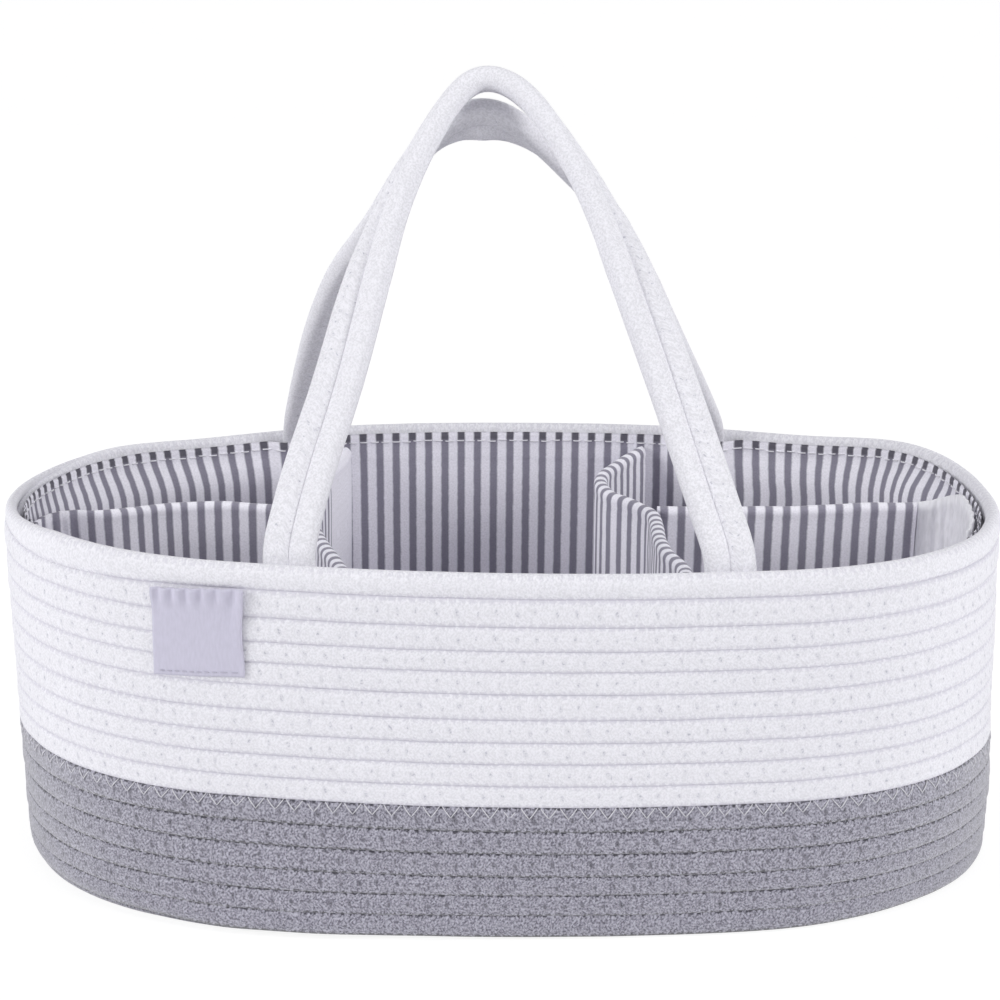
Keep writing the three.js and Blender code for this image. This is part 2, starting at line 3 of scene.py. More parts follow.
import bpy
import numpy as np
from bpy.props import FloatProperty, FloatVectorProperty, PointerProperty
from bpy.types import Operator, Panel, PropertyGroup
from mathutils import Matrix, Vector


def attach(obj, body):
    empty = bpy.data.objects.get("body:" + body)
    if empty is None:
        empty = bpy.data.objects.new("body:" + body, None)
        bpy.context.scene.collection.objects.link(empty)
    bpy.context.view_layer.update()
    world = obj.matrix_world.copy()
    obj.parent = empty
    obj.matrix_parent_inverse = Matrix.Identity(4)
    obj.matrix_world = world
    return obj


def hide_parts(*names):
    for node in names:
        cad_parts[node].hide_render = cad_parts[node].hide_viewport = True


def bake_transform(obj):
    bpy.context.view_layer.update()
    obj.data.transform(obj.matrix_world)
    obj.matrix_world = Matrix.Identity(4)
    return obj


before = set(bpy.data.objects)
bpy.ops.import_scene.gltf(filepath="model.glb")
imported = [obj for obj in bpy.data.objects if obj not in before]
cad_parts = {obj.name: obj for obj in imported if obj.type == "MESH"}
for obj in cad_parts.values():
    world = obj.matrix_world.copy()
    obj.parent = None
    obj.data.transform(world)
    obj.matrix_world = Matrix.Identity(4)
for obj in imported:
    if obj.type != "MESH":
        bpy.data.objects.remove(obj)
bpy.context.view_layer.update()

bl_info = {
    "name": "Rope Caddy",
    "version": (1, 0, 0),
    "blender": (4, 5, 0),
    "location": "3D View > Sidebar > Rope Caddy",
    "description": "An oval rope basket with a striped lining, folding handles and lift-out dividers",
    "category": "Add Mesh",
}

# The solids' own sizes, in millimetres, as the part's source has them
MM = 0.001
HALF_WIDTH = 120
STRAIGHT = 70
END_SHARE = 112 / 120
ROPE_HEIGHT = 7.8
ROPE_THICKNESS = 6.2
ROW_PITCH = 8.5
FLOOR_ROPE_Z = 3.1
BASE_TURNS = 12
CORE_LATENESS = 2
GREY_ROWS = 6
WALL_ROWS = 16
WALL_LEAN = 0.05
STEPS = 24
END_STEPS = 8
FIRST_STEP = 14
RUN_OUT = 4
RIM_Z = 138.75
HEM_DROP = 3.6
LINING_GAP = 0.7
LINING_THICKNESS = 1
HANDLE_ROPE = 9
HANDLE_PITCH = 9.1
HANDLE_ROLL = 11.05
HANDLE_LEAN = math.radians(32)
POCKET_HALF = 10.5
POCKET_DEPTH = 5.3
POCKET_BOTTOM = 105.15
PRESSED_HALF = 2.6
DIVIDER_THICKNESS = 5.4
DIVIDER_TOP = 128
DIVIDER_FOOT = 8
BOARD_THICKNESS = 2.4
BOARD_INSET = 7
WALL_CLEARANCE = 0.9
SEAM_GAP = 0.8
TAB_THICKNESS = 1.2
TAB_REACH = 17
TAB_HEIGHT = 52
TAB_RISES = {-1: -1.5, 1: 6}
TAB_ON_WALL = 61
TAB_SLACK = 0.5
STRIP_THICKNESS = 0.8
STRIP_MARGIN = 5
SEAT = 0.3
LABEL_SIZE = 33
LABEL_LEFT = 125
LABEL_DROP = 1.5

HANDLES = {
    "front": dict(axis_y=-110.0474, axis_z=136.2667, inward=1, spread=78, shift=2, sway=-9.5, rise=185.5,
                  shares=(0.8, 0.39, 0.41), crown_lift=-0.2,
                  twist=((0, 0), (0.1, 0), (0.25, 7.5), (0.4, 24), (0.55, 57), (0.75, 75), (1, 67)),
                  left_shift=((0, -1.2), (0.12, 0.2), (0.27, 3.4), (0.42, 3.7), (0.57, 3.9), (0.72, 5.1), (0.87, 3.5),
                              (1, 0)),
                  right_shift=((0, 0), (0.12, -0.6), (0.27, -0.6), (0.42, -0.3), (0.57, 0), (0.72, -0.6),
                               (0.87, 0.5), (1, 0))),
    "back": dict(axis_y=109.1653, axis_z=132.0167, inward=-1, spread=82.5, shift=-1, sway=-10, rise=169,
                 shares=(0.8, 0.38, 0.46), crown_lift=1.1,
                 twist=((0, 0), (0.1, 6), (0.25, 14), (0.4, 33), (0.55, 63), (0.75, 66), (1, -3)),
                 left_shift=((0, 0), (0.12, -1.1), (0.27, -2.2), (0.42, -1.6), (0.57, 1.9), (0.72, 1), (0.87, 0.5),
                             (1, 0)),
                 right_shift=((0, 0), (0.12, -0.5), (0.27, -1.1), (0.42, 0.3), (0.57, 3.4), (0.72, 0.6),
                              (0.87, -1.2), (1, 0))),
}
CROSS_SHARES = {
    -1: [(0, 0.803), (0.08, 0.825), (0.17, 0.878), (0.28, 0.929), (0.38, 0.954),
         (0.52, 0.931), (0.66, 0.871), (0.8, 0.785), (0.9, 0.738), (1, 0.713)],
    1: [(0, 0.699), (0.09, 0.58), (0.2, 0.475), (0.31, 0.516), (0.37, 0.62), (0.425, 0.705), (0.5, 0.724),
        (0.6, 0.728), (0.7, 0.755), (0.8, 0.822), (0.92, 0.8), (1, 0.755)],
}
LONG_SHARES = {
    -1: [(0, 0.13), (0.2, 0.158), (0.45, 0.172), (0.66, 0.14), (0.85, 0.07), (0.95, 0.06), (1, 0.06)],
    1: [(0, 0.158), (0.5, 0.168), (1, 0.19)],
}
SIDES = {-1: "left", 1: "right"}

# Sizes that only the dressed model has, in millimetres
PRESSED_IN = 0.4
HANDLE_HALF = 4.75
GROOVE_HALF = 5.5
LINING_DROP = 128
LINING_FOOT = 7.1
FLOOR_Z = 7.2
PAD_SPACING = 2.5
PAD_END = 1.8
# Where each panel's stripes start, as the cloth happened to be cut
TAB_STRIPES = 2.4
STRIPE_STARTS = {(-1, "cross"): -1.1, (1, "cross"): 1.1, (-1, "long"): 1.2, (1, "long"): -2.9}
# How far down the cloth these begin, beyond the hem and its shade
FLOOR_DOWN = 300
PAD_DOWN = 20
# Beyond this height in a row lies the shade of its seam.
SHADE_EDGE = 3

# How square a rope's section is: a sewn row, the rim and a handle's rope
SQUARE_ROW = 4.4
ROUND_ROW = 2.25
HANDLE_SQUARE = 2.5

# Numbers of points: round a rope and on its hidden side, round a handle's rope, round the lining, and where places
# are read off a fine line
ROPE_RING = 14
ROPE_BEHIND = 5
HANDLE_RING = 20
LINING_COLUMNS = 432
FINE_TURN = 720
FINE_STEPS = 4801
# Steps to look through on each side of a wall's middle
SEARCH = 5.5

# The camera fitted to the photograph, in metres and degrees
CAMERA_LENS = dict(sensor_width=36, lens=113.256, shift_x=-0.006)
CAMERA_TARGET = (0, 0, 0.1355)
CAMERA_DISTANCE = 1.217
CAMERA_TILT = 14.69
CAMERA_ROLL = 0.54
# Each lamp's place and width in metres, and its watts
LAMPS = {
    "left_lamp": ((-2.3, -1.1, 1.1), 1.6, 36),
    "right_lamp": ((2.3, -1.1, 1.1), 1.6, 34),
    "top_lamp": ((0.0, -0.2, 2.6), 1.8, 13),
}
LAMP_TARGET = (0, 0, 0.1)
# The paper sweep from front to back: y and z in metres, a little under the caddy
SWEEP = ((-3.0, 0), (2.0, 0), (2.6, 0.08), (3.0, 0.35), (3.2, 0.8), (3.25, 3.2))
SWEEP_HALF = 4.0
SWEEP_DROP = 0.0002


def linear(code):
    """An sRGB hex colour as linear red, green and blue."""
    parts = [int(code[i:i + 2], 16) / 255 for i in (1, 3, 5)]
    return tuple(p / 12.92 if p <= 0.04045 else ((p + 0.055) / 1.055) ** 2.4 for p in parts)


def length_property(name, description, millimetres):
    return FloatProperty(name=name, description=description, default=millimetres * MM, min=0, subtype="DISTANCE",
                         unit="LENGTH")


def colour_property(name, description, code):
    return FloatVectorProperty(name=name, description=description, default=linear(code), min=0, max=1, size=3,
                               subtype="COLOR")


class CaddyRope(PropertyGroup):
    """Sizes of the rope's turns and of the thread that joins them."""
    stitch: length_property("Stitch", "Length of one zigzag stitch along a seam", 7)
    zigzag: length_property("Zigzag", "Height of the zigzag across a seam", 6.8)
    thread: length_property("Thread", "Thickness of the sewing thread", 0.44)
    pucker: length_property("Pucker", "How deep a stitch pulls the rope's face in", 0.22)


class CaddyLining(PropertyGroup):
    """Sizes of the lining's stripes, hem and wrinkles."""
    stripe_pitch: length_property("Stripe pitch", "Distance from one dark stripe to the next", 6.87)
    stripe_width: length_property("Stripe width", "Width of a dark stripe", 3.1)
    hem: length_property("Hem", "Depth of the turned hem under the rim", 11)
    wrinkle: length_property("Wrinkle", "Height of the lining's wrinkles", 0.8)
    stitch: length_property("Hem stitch", "Length of one stitch of the hem", 3.1)


class CaddyHandles(PropertyGroup):
    """Sizes of the stitching that joins a handle's two ropes."""
    stitch: length_property("Stitch", "Length of one zigzag stitch along a handle", 5)
    zigzag: length_property("Zigzag", "Width of the zigzag across the groove", 4)
    thread: length_property("Thread", "Thickness of the sewing thread", 0.5)


class CaddyDividers(PropertyGroup):
    """Sizes of the padded dividers."""
    top_radius: length_property("Top radius", "Rounding of a panel's top edge", 2.6)
    slack: length_property("Slack", "How far the cover lies off an even face", 0.35)


class CaddyColours(PropertyGroup):
    """Colours of the rope, cloth and thread, and of the shade painted into seams and stitch dimples."""
    white_rope: colour_property("White rope", "Bleached cotton rope", "#f0eff5")
    grey_rope: colour_property("Grey rope", "Light fibres of the heathered rope", "#b9b7c5")
    grey_fibre: colour_property("Grey fibre", "Dark fibres of the heathered rope", "#585564")
    grey_seam_shade: colour_property("Grey seam", "Shade in the seams between grey rows", "#2e2c39")
    dimple: colour_property("Dimple", "Shade in a stitch's dimple in white rope", "#bab9c4")
    grey_dimple: colour_property("Grey dimple", "Shade in a stitch's dimple in grey rope", "#302e3b")
    white_seam_shade: colour_property("White seam", "Shade in the seams between white rows", "#d9d7e0")
    stripe_light: colour_property("Light stripe", "Light stripe of the lining", "#f3f1fa")
    stripe_dark: colour_property("Dark stripe", "Dark stripe of the lining", "#8d8a99")
    tape: colour_property("Tape", "Hook and loop tape", "#f6f5fb")
    label: colour_property("Label", "Bare woven label", "#cac7d8")
    board: colour_property("Board", "Pressed felt board", "#c8c7cf")
    floor: colour_property("Floor", "Studio floor and backdrop", "#fafafb")


# Shapes in plan, in millimetres

def oval(half, step):
    """Point of the basket's oval outline of a given half width. Steps run clockwise from the right end."""
    half, step = np.broadcast_arrays(np.asarray(half, float), np.asarray(step, float))
    end = half * END_SHARE
    centre = STRAIGHT + half - end
    bow = half - end
    bend = 2 * bow / (centre ** 2 + bow * (half + end))
    join = np.arctan2(1 - half * bend, centre * bend)
    around = np.mod(step + END_STEPS / 2, STEPS)
    side = np.where(around >= STEPS / 2, -1.0, 1.0)
    within = np.where(around >= STEPS / 2, around - STEPS / 2, around)
    angle = join * (1 - 2 * within / END_STEPS)
    join_x = centre + end * np.cos(join)
    x = join_x * (1 - 2 * (within - END_STEPS) / (STEPS / 2 - END_STEPS))
    rise = bend * x * x / (1 + np.sqrt(np.maximum(0, 1 - (bend * x) ** 2)))
    on_end = within <= END_STEPS
    return np.stack([np.where(on_end, centre + end * np.cos(angle), x) * side,
                     np.where(on_end, end * np.sin(angle), rise - half) * side], -1)


def step_where(half, axis, value, middle):
    """The step at which a wall of an outline crosses x (axis 0) or y (axis 1) = value."""
    steps = np.linspace(middle - SEARCH, middle + SEARCH, FINE_STEPS)
    line = oval(half, steps)[:, axis] - value
    i = int(np.nonzero(line[:-1] * line[1:] <= 0)[0][0])
    return float(steps[i] + (steps[i + 1] - steps[i]) * line[i] / (line[i] - line[i + 1]))


def step_at_x(half, x, front):
    return step_where(half, 0, x, STEPS / 4 if front else 3 * STEPS / 4)


def step_at_y(half, y, side):
    return step_where(half, 1, y, 0 if side > 0 else STEPS / 2)


def row_z(turns):
    return FLOOR_ROPE_Z + ROW_PITCH * turns


def outside(z):
    return HALF_WIDTH - WALL_LEAN * (RIM_Z - z)


def rope_middle(z):
    return outside(z) - ROPE_THICKNESS / 2


def lining_inside(z):
    return outside(z) - ROPE_THICKNESS - LINING_GAP - LINING_THICKNESS


def rim_top(step):
    """Height of the rim, which the last row of rope makes as it climbs and runs out."""
    share = np.mod(np.asarray(step, float) - FIRST_STEP, STEPS) / STEPS
    fade = 1 - RUN_OUT / STEPS
    level = np.where(share <= fade, share, fade * (1 - share) / (1 - fade))
    return row_z(WALL_ROWS - 1 + level) + ROPE_HEIGHT / 2


def bezier(a, b, c, d, t):
    u = 1 - t
    return u ** 3 * a + 3 * u * u * t * b + 3 * u * t * t * c + t ** 3 * d


def smooth(low, high, value):
    t = np.clip((np.asarray(value, float) - low) / (high - low), 0, 1)
    return t * t * (3 - 2 * t)


def bump(value, centre, spread):
    """A soft bump of height 1 round a centre."""
    return np.exp(-(value - centre) ** 2 / spread)


def rounding(share, power):
    """Height of a rounded box section, from 1 at its middle to 0 at its edge."""
    return (1 - share ** power) ** (1 / power)


def through(table, place):
    """A smooth curve through a table of pairs."""
    xs, ys = np.array(table, float).T
    slopes = np.empty(len(xs))
    slopes[1:-1] = (ys[2:] - ys[:-2]) / (xs[2:] - xs[:-2])
    slopes[0] = (ys[1] - ys[0]) / (xs[1] - xs[0])
    slopes[-1] = (ys[-1] - ys[-2]) / (xs[-1] - xs[-2])
    place = np.asarray(place, float)
    i = np.clip(np.searchsorted(xs, place, side="left") - 1, 0, len(xs) - 2)
    span = xs[i + 1] - xs[i]
    t = (place - xs[i]) / span
    return bezier(ys[i], ys[i] + slopes[i] * span / 3, ys[i + 1] - slopes[i + 1] * span / 3, ys[i + 1], t)


# Heights of the seams between rows at even spacing, and where the sewing really set them
EVEN_SEAMS = [0, 4.3] + [12.79 + ROW_PITCH * k for k in range(15)] + [140.29, 160]
SEWN_SEAMS = [0, 3.2, 9.5, 17.6, 25.1, 34.1, 42.7, 52.1, 60.1, 68.5, 76.6, 85.2, 94.8, 103.3, 111, 120, 130.1, 138.9,
              158.6]
# The sag of the rim's seam at the front left: its even height, spread and depth
SAG_Z = row_z(15.34)
SAG_SPREAD = 0.25
SAG_DEPTH = 2.4


def sewn(z):
    """The height at which a seam lies that even rows would put at z. The rim sags on to its row at the front left."""
    return np.interp(z, EVEN_SEAMS, SEWN_SEAMS) - SAG_DEPTH * bump(np.asarray(z, float), SAG_Z, SAG_SPREAD)


# Where the soft basket has settled off its even oval: centre, reach, shift in x and y, and the same at the rim,
# with its rise there
CORNERS = (
    (-170, -64, 42, -1.0, -3.6, -1.0, -2.0, 0.0),
    (166, -72, 36, 1.5, -1.6, 1.0, -1.5, 0.0),
    (168, 76, 40, 0.0, 1.0, 2.0, 6.5, 2.6),
    (-140, 84, 42, 0.0, -1.0, 0.0, -5.0, 0.8),
    (-120, 98, 24, 0.0, 0.0, 0.0, -2.4, -1.3),
    (-160, 70, 24, 0.0, 0.0, -0.8, 2.2, 1.3),
    (124, 98, 24, 0.0, 0.0, 0.0, -2.6, -1.7),
    (176, 62, 24, 0.0, 0.0, 0.6, 1.2, 0.8),
)
# How the foot alone lies off that outline: centre, reach, shift in x and y
FOOT = (
    (160, -80, 36, -1.3, 4.3),
    (-84, -112, 28, 0.0, -3.6),
    (30, -118, 55, 0.0, 2.4),
)
# How far the ends lean out, the right one by its height, how far the back rises and the foot of the front comes out
LEFT_END_SHIFT = -2.7
RIGHT_END_SHIFT = ([0, 8, 34, 51, 72, 93, 115, 138], [6.9, 6.9, 6.2, 4.5, 2.8, 2.0, 0.4, 0])
BACK_RISE = 3.6
FRONT_OUT = 3.0
# The settling is full up to this height, and has faded out at the second one.
SETTLED_Z = 138
UNMOVED_Z = 215


def settle(points):
    """Lean and fill the shape out as the soft basket has settled. Parts of one place move together."""
    p = np.array(points, float).reshape(-1, 3)
    x, y, z = p.T.copy()

    def near(cx, cy, reach):
        return np.exp(-((x - cx) ** 2 + (y - cy) ** 2) / (2 * reach * reach))

    fade = smooth(UNMOVED_Z, SETTLED_Z, z)
    end = np.abs(x / 190) ** 3 * fade
    p[:, 0] += np.where(x < 0, LEFT_END_SHIFT, np.interp(z, *RIGHT_END_SHIFT)) * end
    p[:, 2] += BACK_RISE * np.clip(y / 116, 0, 1) ** 1.5 * np.clip(z / SETTLED_Z, 0, 1) * fade
    front = np.clip(-y / 113, 0, 1.1) ** 2 * (0.8 - 0.4 * np.clip(x / 120, -0.6, 1))
    p[:, 1] -= FRONT_OUT * np.clip(1 - z / 100, 0, 1) * front
    rim = smooth(70, SETTLED_Z, z)
    for cx, cy, reach, dx, dy, rim_dx, rim_dy, rise in CORNERS:
        share = near(cx, cy, reach) * fade
        p[:, 0] += share * (dx + (rim_dx - dx) * rim)
        p[:, 1] += share * (dy + (rim_dy - dy) * rim)
        p[:, 2] += share * rise * rim
    foot = smooth(42, 0, z)
    for cx, cy, reach, dx, dy in FOOT:
        share = near(cx, cy, reach) * foot
        p[:, 0] += share * dx
        p[:, 1] += share * dy
    return p


def lengths(points):
    """Length along a line of points, from its first one."""
    gaps = np.linalg.norm(np.diff(points, axis=0), axis=1)
    return np.concatenate([[0], np.cumsum(gaps)])


def read_off(marks, run, values):
    """Rows of values along a run, read off at marks on it."""
    return np.stack([np.interp(marks, run, column) for column in values.T], -1)


def unit(vectors):
    return vectors / np.maximum(np.linalg.norm(vectors, axis=-1, keepdims=True), 1e-9)


def plan_normals(middle):
    """Directions square to a line in plan: outwards where it runs clockwise."""
    ahead = unit(np.gradient(middle, axis=0))
    return np.column_stack([-ahead[:, 1], ahead[:, 0]])


def outward_of(points):
    """The same for a line in space, as level directions."""
    return np.column_stack([plan_normals(points[:, :2]), np.zeros(len(points))])


def drift(values, wave, seed):
    """A gentle random line between about -1 and 1, with bends about one wave apart."""
    rng = np.random.default_rng(seed)
    values = np.asarray(values, float)
    total = 0
    for scale in (1, 0.57, 0.31):
        phase = rng.uniform(0, 2 * np.pi)
        total = total + np.sin(values * 2 * np.pi / (wave * scale) + phase) * scale ** 0.5
    return total / 2.3


# Meshes

def grid_faces(rows, count, start=0, close_count=True):
    i = np.arange(rows - 1)[:, None]
    j = np.arange(count if close_count else count - 1)[None, :]
    k = (j + 1) % count
    faces = np.stack([i * count + j, i * count + k, (i + 1) * count + k, (i + 1) * count + j], -1).reshape(-1, 4)
    return (faces + start).tolist()


def tube_faces(rows, count, start=0):
    """Faces of a closed tube: its rings, then its two ends."""
    last = start + (rows - 1) * count
    return grid_faces(rows, count, start) + [list(range(start, start + count))[::-1], list(range(last, last + count))]


def add_piece(name, points, faces, material, slot, body=None, **values):
    """A smooth mesh object with its finish, from points in millimetres. The values are its surface coordinates."""
    shape = np.shape(points)[:-1]
    mesh = bpy.data.meshes.new(name)
    mesh.from_pydata((settle(points) * MM).tolist(), [], faces)
    mesh.update()
    for key, value in values.items():
        layer = mesh.attributes.new(key, "FLOAT", "POINT")
        layer.data.foreach_set("value", np.broadcast_to(value, shape).astype(np.float32).ravel())
    mesh.shade_smooth()
    mesh.materials.append(material)
    piece = bpy.data.objects.new(name, mesh)
    bpy.context.scene.collection.objects.link(piece)
    if body:
        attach(piece, body)
    return piece


def add_closed(name, rings, *finish, **values):
    """A closed piece from its rings of points, with its faces turned outwards."""
    faces = tube_faces(*rings.shape[:2])
    p = rings.reshape(-1, 3)
    quads = np.array([f for f in faces if len(f) == 4])
    a, b, c, d = (p[quads[:, i]] for i in range(4))
    volume = np.einsum("ij,ij->", a, np.cross(b, c)) + np.einsum("ij,ij->", a, np.cross(c, d))
    if volume <= 0:
        faces = [f[::-1] for f in faces]
    return add_piece(name, rings, faces, *finish, **values)


def tube_points(line, normals, radius, sides):
    """Rings of a thin tube round a line, with the given outward directions."""
    ahead = unit(np.gradient(line, axis=0))
    across = unit(np.cross(ahead, normals))
    outward = np.cross(across, ahead)
    angle = 2 * np.pi * (np.arange(sides) + 0.5) / sides
    ring = np.cos(angle)[None, :, None] * across[:, None, :] + np.sin(angle)[None, :, None] * outward[:, None, :]
    return line[:, None, :] + ring * radius


def tube_mesh(lines, sides=4):
    """Points and faces of several tubes, each given as (line, normals, radius)."""
    points, faces = [], []
    start = 0
    for line, normals, radius in lines:
        points.append(tube_points(line, normals, radius, sides).reshape(-1, 3))
        faces += tube_faces(len(line), sides, start)
        start += len(line) * sides
    return np.concatenate(points), faces


def section(count, power, behind=None):
    """Points round a rounded box section: along its height, then across its thickness. The side behind may have
    fewer points."""
    angle = 2 * np.pi * (np.arange(count) + 0.5) / count
    if behind:
        front = count - behind
        angle = np.concatenate([np.pi * (np.arange(front) + 0.5) / front,
                                np.pi + np.pi * (np.arange(behind) + 0.5) / behind])
    c, s = np.cos(angle), np.sin(angle)
    return np.sign(c) * np.abs(c) ** (2 / power), np.sign(s) * np.abs(s) ** (2 / power)


# Materials

# A mesh's own surface coordinates, in millimetres
SURFACE = ("along", "across", "deep")


def wire(tree, node, values):
    """Set a node's sockets, by name or in their order, to values or to the outputs to link."""
    for socket, value in values.items() if isinstance(values, dict) else enumerate(values):
        if isinstance(value, bpy.types.NodeSocket):
            tree.links.new(value, node.inputs[socket])
        else:
            node.inputs[socket].default_value = value


def add_node(tree, kind, values=(), out=0, **settings):
    """Add a shader node with its settings and links, and give one of its outputs, or the node if out is None."""
    node = tree.nodes.new("ShaderNode" + kind)
    for name, value in settings.items():
        setattr(node, name, value)
    wire(tree, node, values)
    return node if out is None else node.outputs[out]


def new_material(name):
    """An empty material with a plain shader, and that shader."""
    material = bpy.data.materials.get(name)
    if material:
        bpy.data.materials.remove(material)
    material = bpy.data.materials.new(name)
    material.use_nodes = True
    return material, material.node_tree, material.node_tree.nodes["Principled BSDF"]


def opaque(colour):
    return (*colour, 1)


def darker(colour, share):
    return tuple(share * c for c in colour)


def toned(tree, colour, pattern, *limits):
    """A colour whose tone follows a pattern. The limits are the pattern's low and high, and the tone at each."""
    tone = add_node(tree, "MapRange", (pattern, *limits))
    return add_node(tree, "VectorMath", {0: colour, "Scale": tone}, operation="SCALE")


def cloth_shader(tree, shader, colour, height, depth, strength=0.6, roughness=0.9, sheen=0.15):
    """Wire a cloth's colour and relief, and set its even dryness and sheen."""
    relief = add_node(tree, "Bump", {"Strength": strength, "Distance": depth * MM, "Height": height})
    wire(tree, shader, {"Base Color": colour, "Normal": relief, "Roughness": roughness, "Specular IOR Level": 0.25,
                        "Sheen Weight": sheen, "Sheen Roughness": 0.6})


def braided_rope(name, light, dark, contrast, dimple, dot, least, stitch, fleck=1.2, seam=None, seam_shade_edge=None,
                 sheen=0.15):
    """Braided cotton: fine slanting fibres on both sides of the middle, with a dry matt face. Its stitches leave
    dimples, painted as darker spots of a width (dot), the faintest of a strength (least), and shade is painted
    into its seams where there are any."""
    material, tree, shader = new_material(name)
    along, across, deep = (add_node(tree, "Attribute", out="Fac", attribute_name=key) for key in SURFACE)
    slant = add_node(tree, "Math", (across,), operation="ABSOLUTE")
    lead = add_node(tree, "Math", (along, slant), operation="ADD")
    trail = add_node(tree, "Math", (slant, along), operation="SUBTRACT")
    place = add_node(tree, "CombineXYZ", (lead, trail, deep))
    # A fibre bundle is 0.35 mm wide, and is drawn at 0.6 mm to show at this distance.
    long_fibres = add_node(tree, "Mapping", {"Vector": place, "Scale": (fleck, 0.3 * fleck, fleck)})
    fibre = add_node(tree, "TexNoise", {"Vector": long_fibres, "Scale": 1.0, "Detail": 3.0, "Roughness": 0.6})
    face = add_node(tree, "CombineXYZ", (along, across, deep))
    fuzz = add_node(tree, "TexNoise", {"Vector": face, "Scale": 1.3, "Detail": 2.0})
    both = add_node(tree, "Math", (fibre, 0.7, fuzz), operation="MULTIPLY_ADD")
    spread = add_node(tree, "MapRange", (both, 0.85 - contrast, 0.85 + contrast))
    colour = add_node(tree, "Mix", {0: spread, 6: opaque(dark), 7: opaque(light)}, 2, data_type="RGBA")
    # Shade is painted into the crease between rows, darkest at a row's edge.
    if seam:
        # The shade is broken where the thread crosses the seam.
        broken = add_node(tree, "MapRange", (fuzz, 0.35, 0.65, 0.5, -0.4))
        crossing = add_node(tree, "Math", (along, stitch / 4), operation="PINGPONG")
        crossing = add_node(tree, "MapRange", (crossing, 0.25, 0.9, -0.75, 0.0))
        depth = add_node(tree, "Math", (slant, broken), operation="ADD")
        depth = add_node(tree, "Math", (depth, crossing), operation="ADD")
        shade = add_node(tree, "MapRange", (depth, seam_shade_edge, 3.8), interpolation_type="SMOOTHSTEP")
        colour = add_node(tree, "Mix", {0: shade, 6: colour, 7: opaque(seam)}, 2, data_type="RGBA")
    # The needle pulls a small dimple into the middle of a row at each stitch, and its shade is painted as a darker
    # spot.
    stitched = add_node(tree, "Attribute", out="Fac", attribute_name="stitched")
    jitter = add_node(tree, "TexNoise", {"Vector": face, "Scale": 0.16, "Detail": 1.0})
    level = add_node(tree, "MapRange", (jitter, 0.3, 0.7, -0.9, 0.9))
    moved = add_node(tree, "Math", (level, along), operation="ADD")
    fold = add_node(tree, "Math", (moved, stitch / 2), operation="PINGPONG")
    height = add_node(tree, "Math", (across, level), operation="ADD")
    tall = add_node(tree, "Math", (height, 0.72), operation="MULTIPLY")
    near = add_node(tree, "CombineXYZ", (fold, tall))
    reach = add_node(tree, "VectorMath", (near,), "Value", operation="LENGTH")
    spot = add_node(tree, "MapRange", (reach, dot, 0.3 * dot), interpolation_type="SMOOTHSTEP")
    power = add_node(tree, "MapRange", (fuzz, 0.35, 0.65, least, 1.0))
    power = add_node(tree, "Math", (power, stitched), operation="MULTIPLY")
    spot = add_node(tree, "Math", (spot, power), operation="MULTIPLY")
    colour = add_node(tree, "Mix", {0: spot, 6: colour, 7: opaque(dimple)}, 2, data_type="RGBA")
    cloth_shader(tree, shader, colour, both, 0.35, 0.5, sheen=sheen)
    return material


def sewing_thread(name, colour):
    """Spun polyester thread: a thin twisted strand with a faint gloss."""
    material, tree, shader = new_material(name)
    place = add_node(tree, "TexCoord", out="Object")
    # The twist repeats every 0.5 mm.
    twist = add_node(tree, "TexNoise", {"Vector": place, "Scale": 2000.0, "Detail": 1.0})
    tone = toned(tree, colour, twist, 0, 1, 0.86, 1.06)
    cloth_shader(tree, shader, tone, twist, 0.1, 0.4, roughness=0.65, sheen=0.1)
    return material


def striped_cotton(name, sizes, colours):
    """Plain-woven cotton with even printed stripes and a fine square weave."""
    material, tree, shader = new_material(name)
    along, across = (add_node(tree, "Attribute", out="Fac", attribute_name=key) for key in SURFACE[:2])
    pitch, width = sizes.stripe_pitch / MM, sizes.stripe_width / MM
    place = add_node(tree, "CombineXYZ", (along, across))
    waver = add_node(tree, "TexNoise", {"Vector": place, "Scale": 0.35, "Detail": 2.0})
    moved = add_node(tree, "Math", (waver, 0.5, along), operation="MULTIPLY_ADD")
    fold = add_node(tree, "Math", (moved, pitch / 2), operation="PINGPONG")
    stripe = add_node(tree, "MapRange", (fold, width / 2 + 0.35, width / 2 - 0.35))
    # Painted shade: at the hem's turned edge over its stitches, the dark stripes are darkened towards the rim.
    lip_shade = add_node(tree, "MapRange", (across, 3.9, 2.6))
    dark = add_node(tree, "Mix", {0: lip_shade, 6: opaque(colours.stripe_dark), 7: opaque(darker(colours.stripe_dark, 0.45))},
                    2, data_type="RGBA")
    colour = add_node(tree, "Mix", {0: stripe, 6: opaque(colours.stripe_light), 7: dark}, 2, data_type="RGBA")
    # A thread is 0.3 mm wide, and its weave is drawn at 0.7 mm to show.
    weave = add_node(tree, "Mapping", {"Vector": place, "Scale": (1.4, 1.4, 1.4)})
    weave = add_node(tree, "TexNoise", {"Vector": weave, "Scale": 1.0, "Detail": 3.0})
    colour = toned(tree, colour, weave, 0.3, 0.7, 0.9, 1.08)
    cloth_shader(tree, shader, colour, weave, 0.2, 0.5)
    return material


def plain_cloth(name, colour, rib, depth=0.2, low=0.9, high=1.05):
    """Woven tape: fine ribs one way, set in millimetres, with small differences from thread to thread."""
    material, tree, shader = new_material(name)
    along, across = (add_node(tree, "Attribute", out="Fac", attribute_name=key) for key in SURFACE[:2])
    place = add_node(tree, "CombineXYZ", (along, across))
    ribs = add_node(tree, "Mapping", {"Vector": place, "Scale": (1 / rib, 0.25 / rib, 1)})
    weave = add_node(tree, "TexNoise", {"Vector": ribs, "Scale": 1.0, "Detail": 3.0})
    cloth_shader(tree, shader, toned(tree, colour, weave, 0.3, 0.7, low, high), weave, depth, 0.5)
    return material


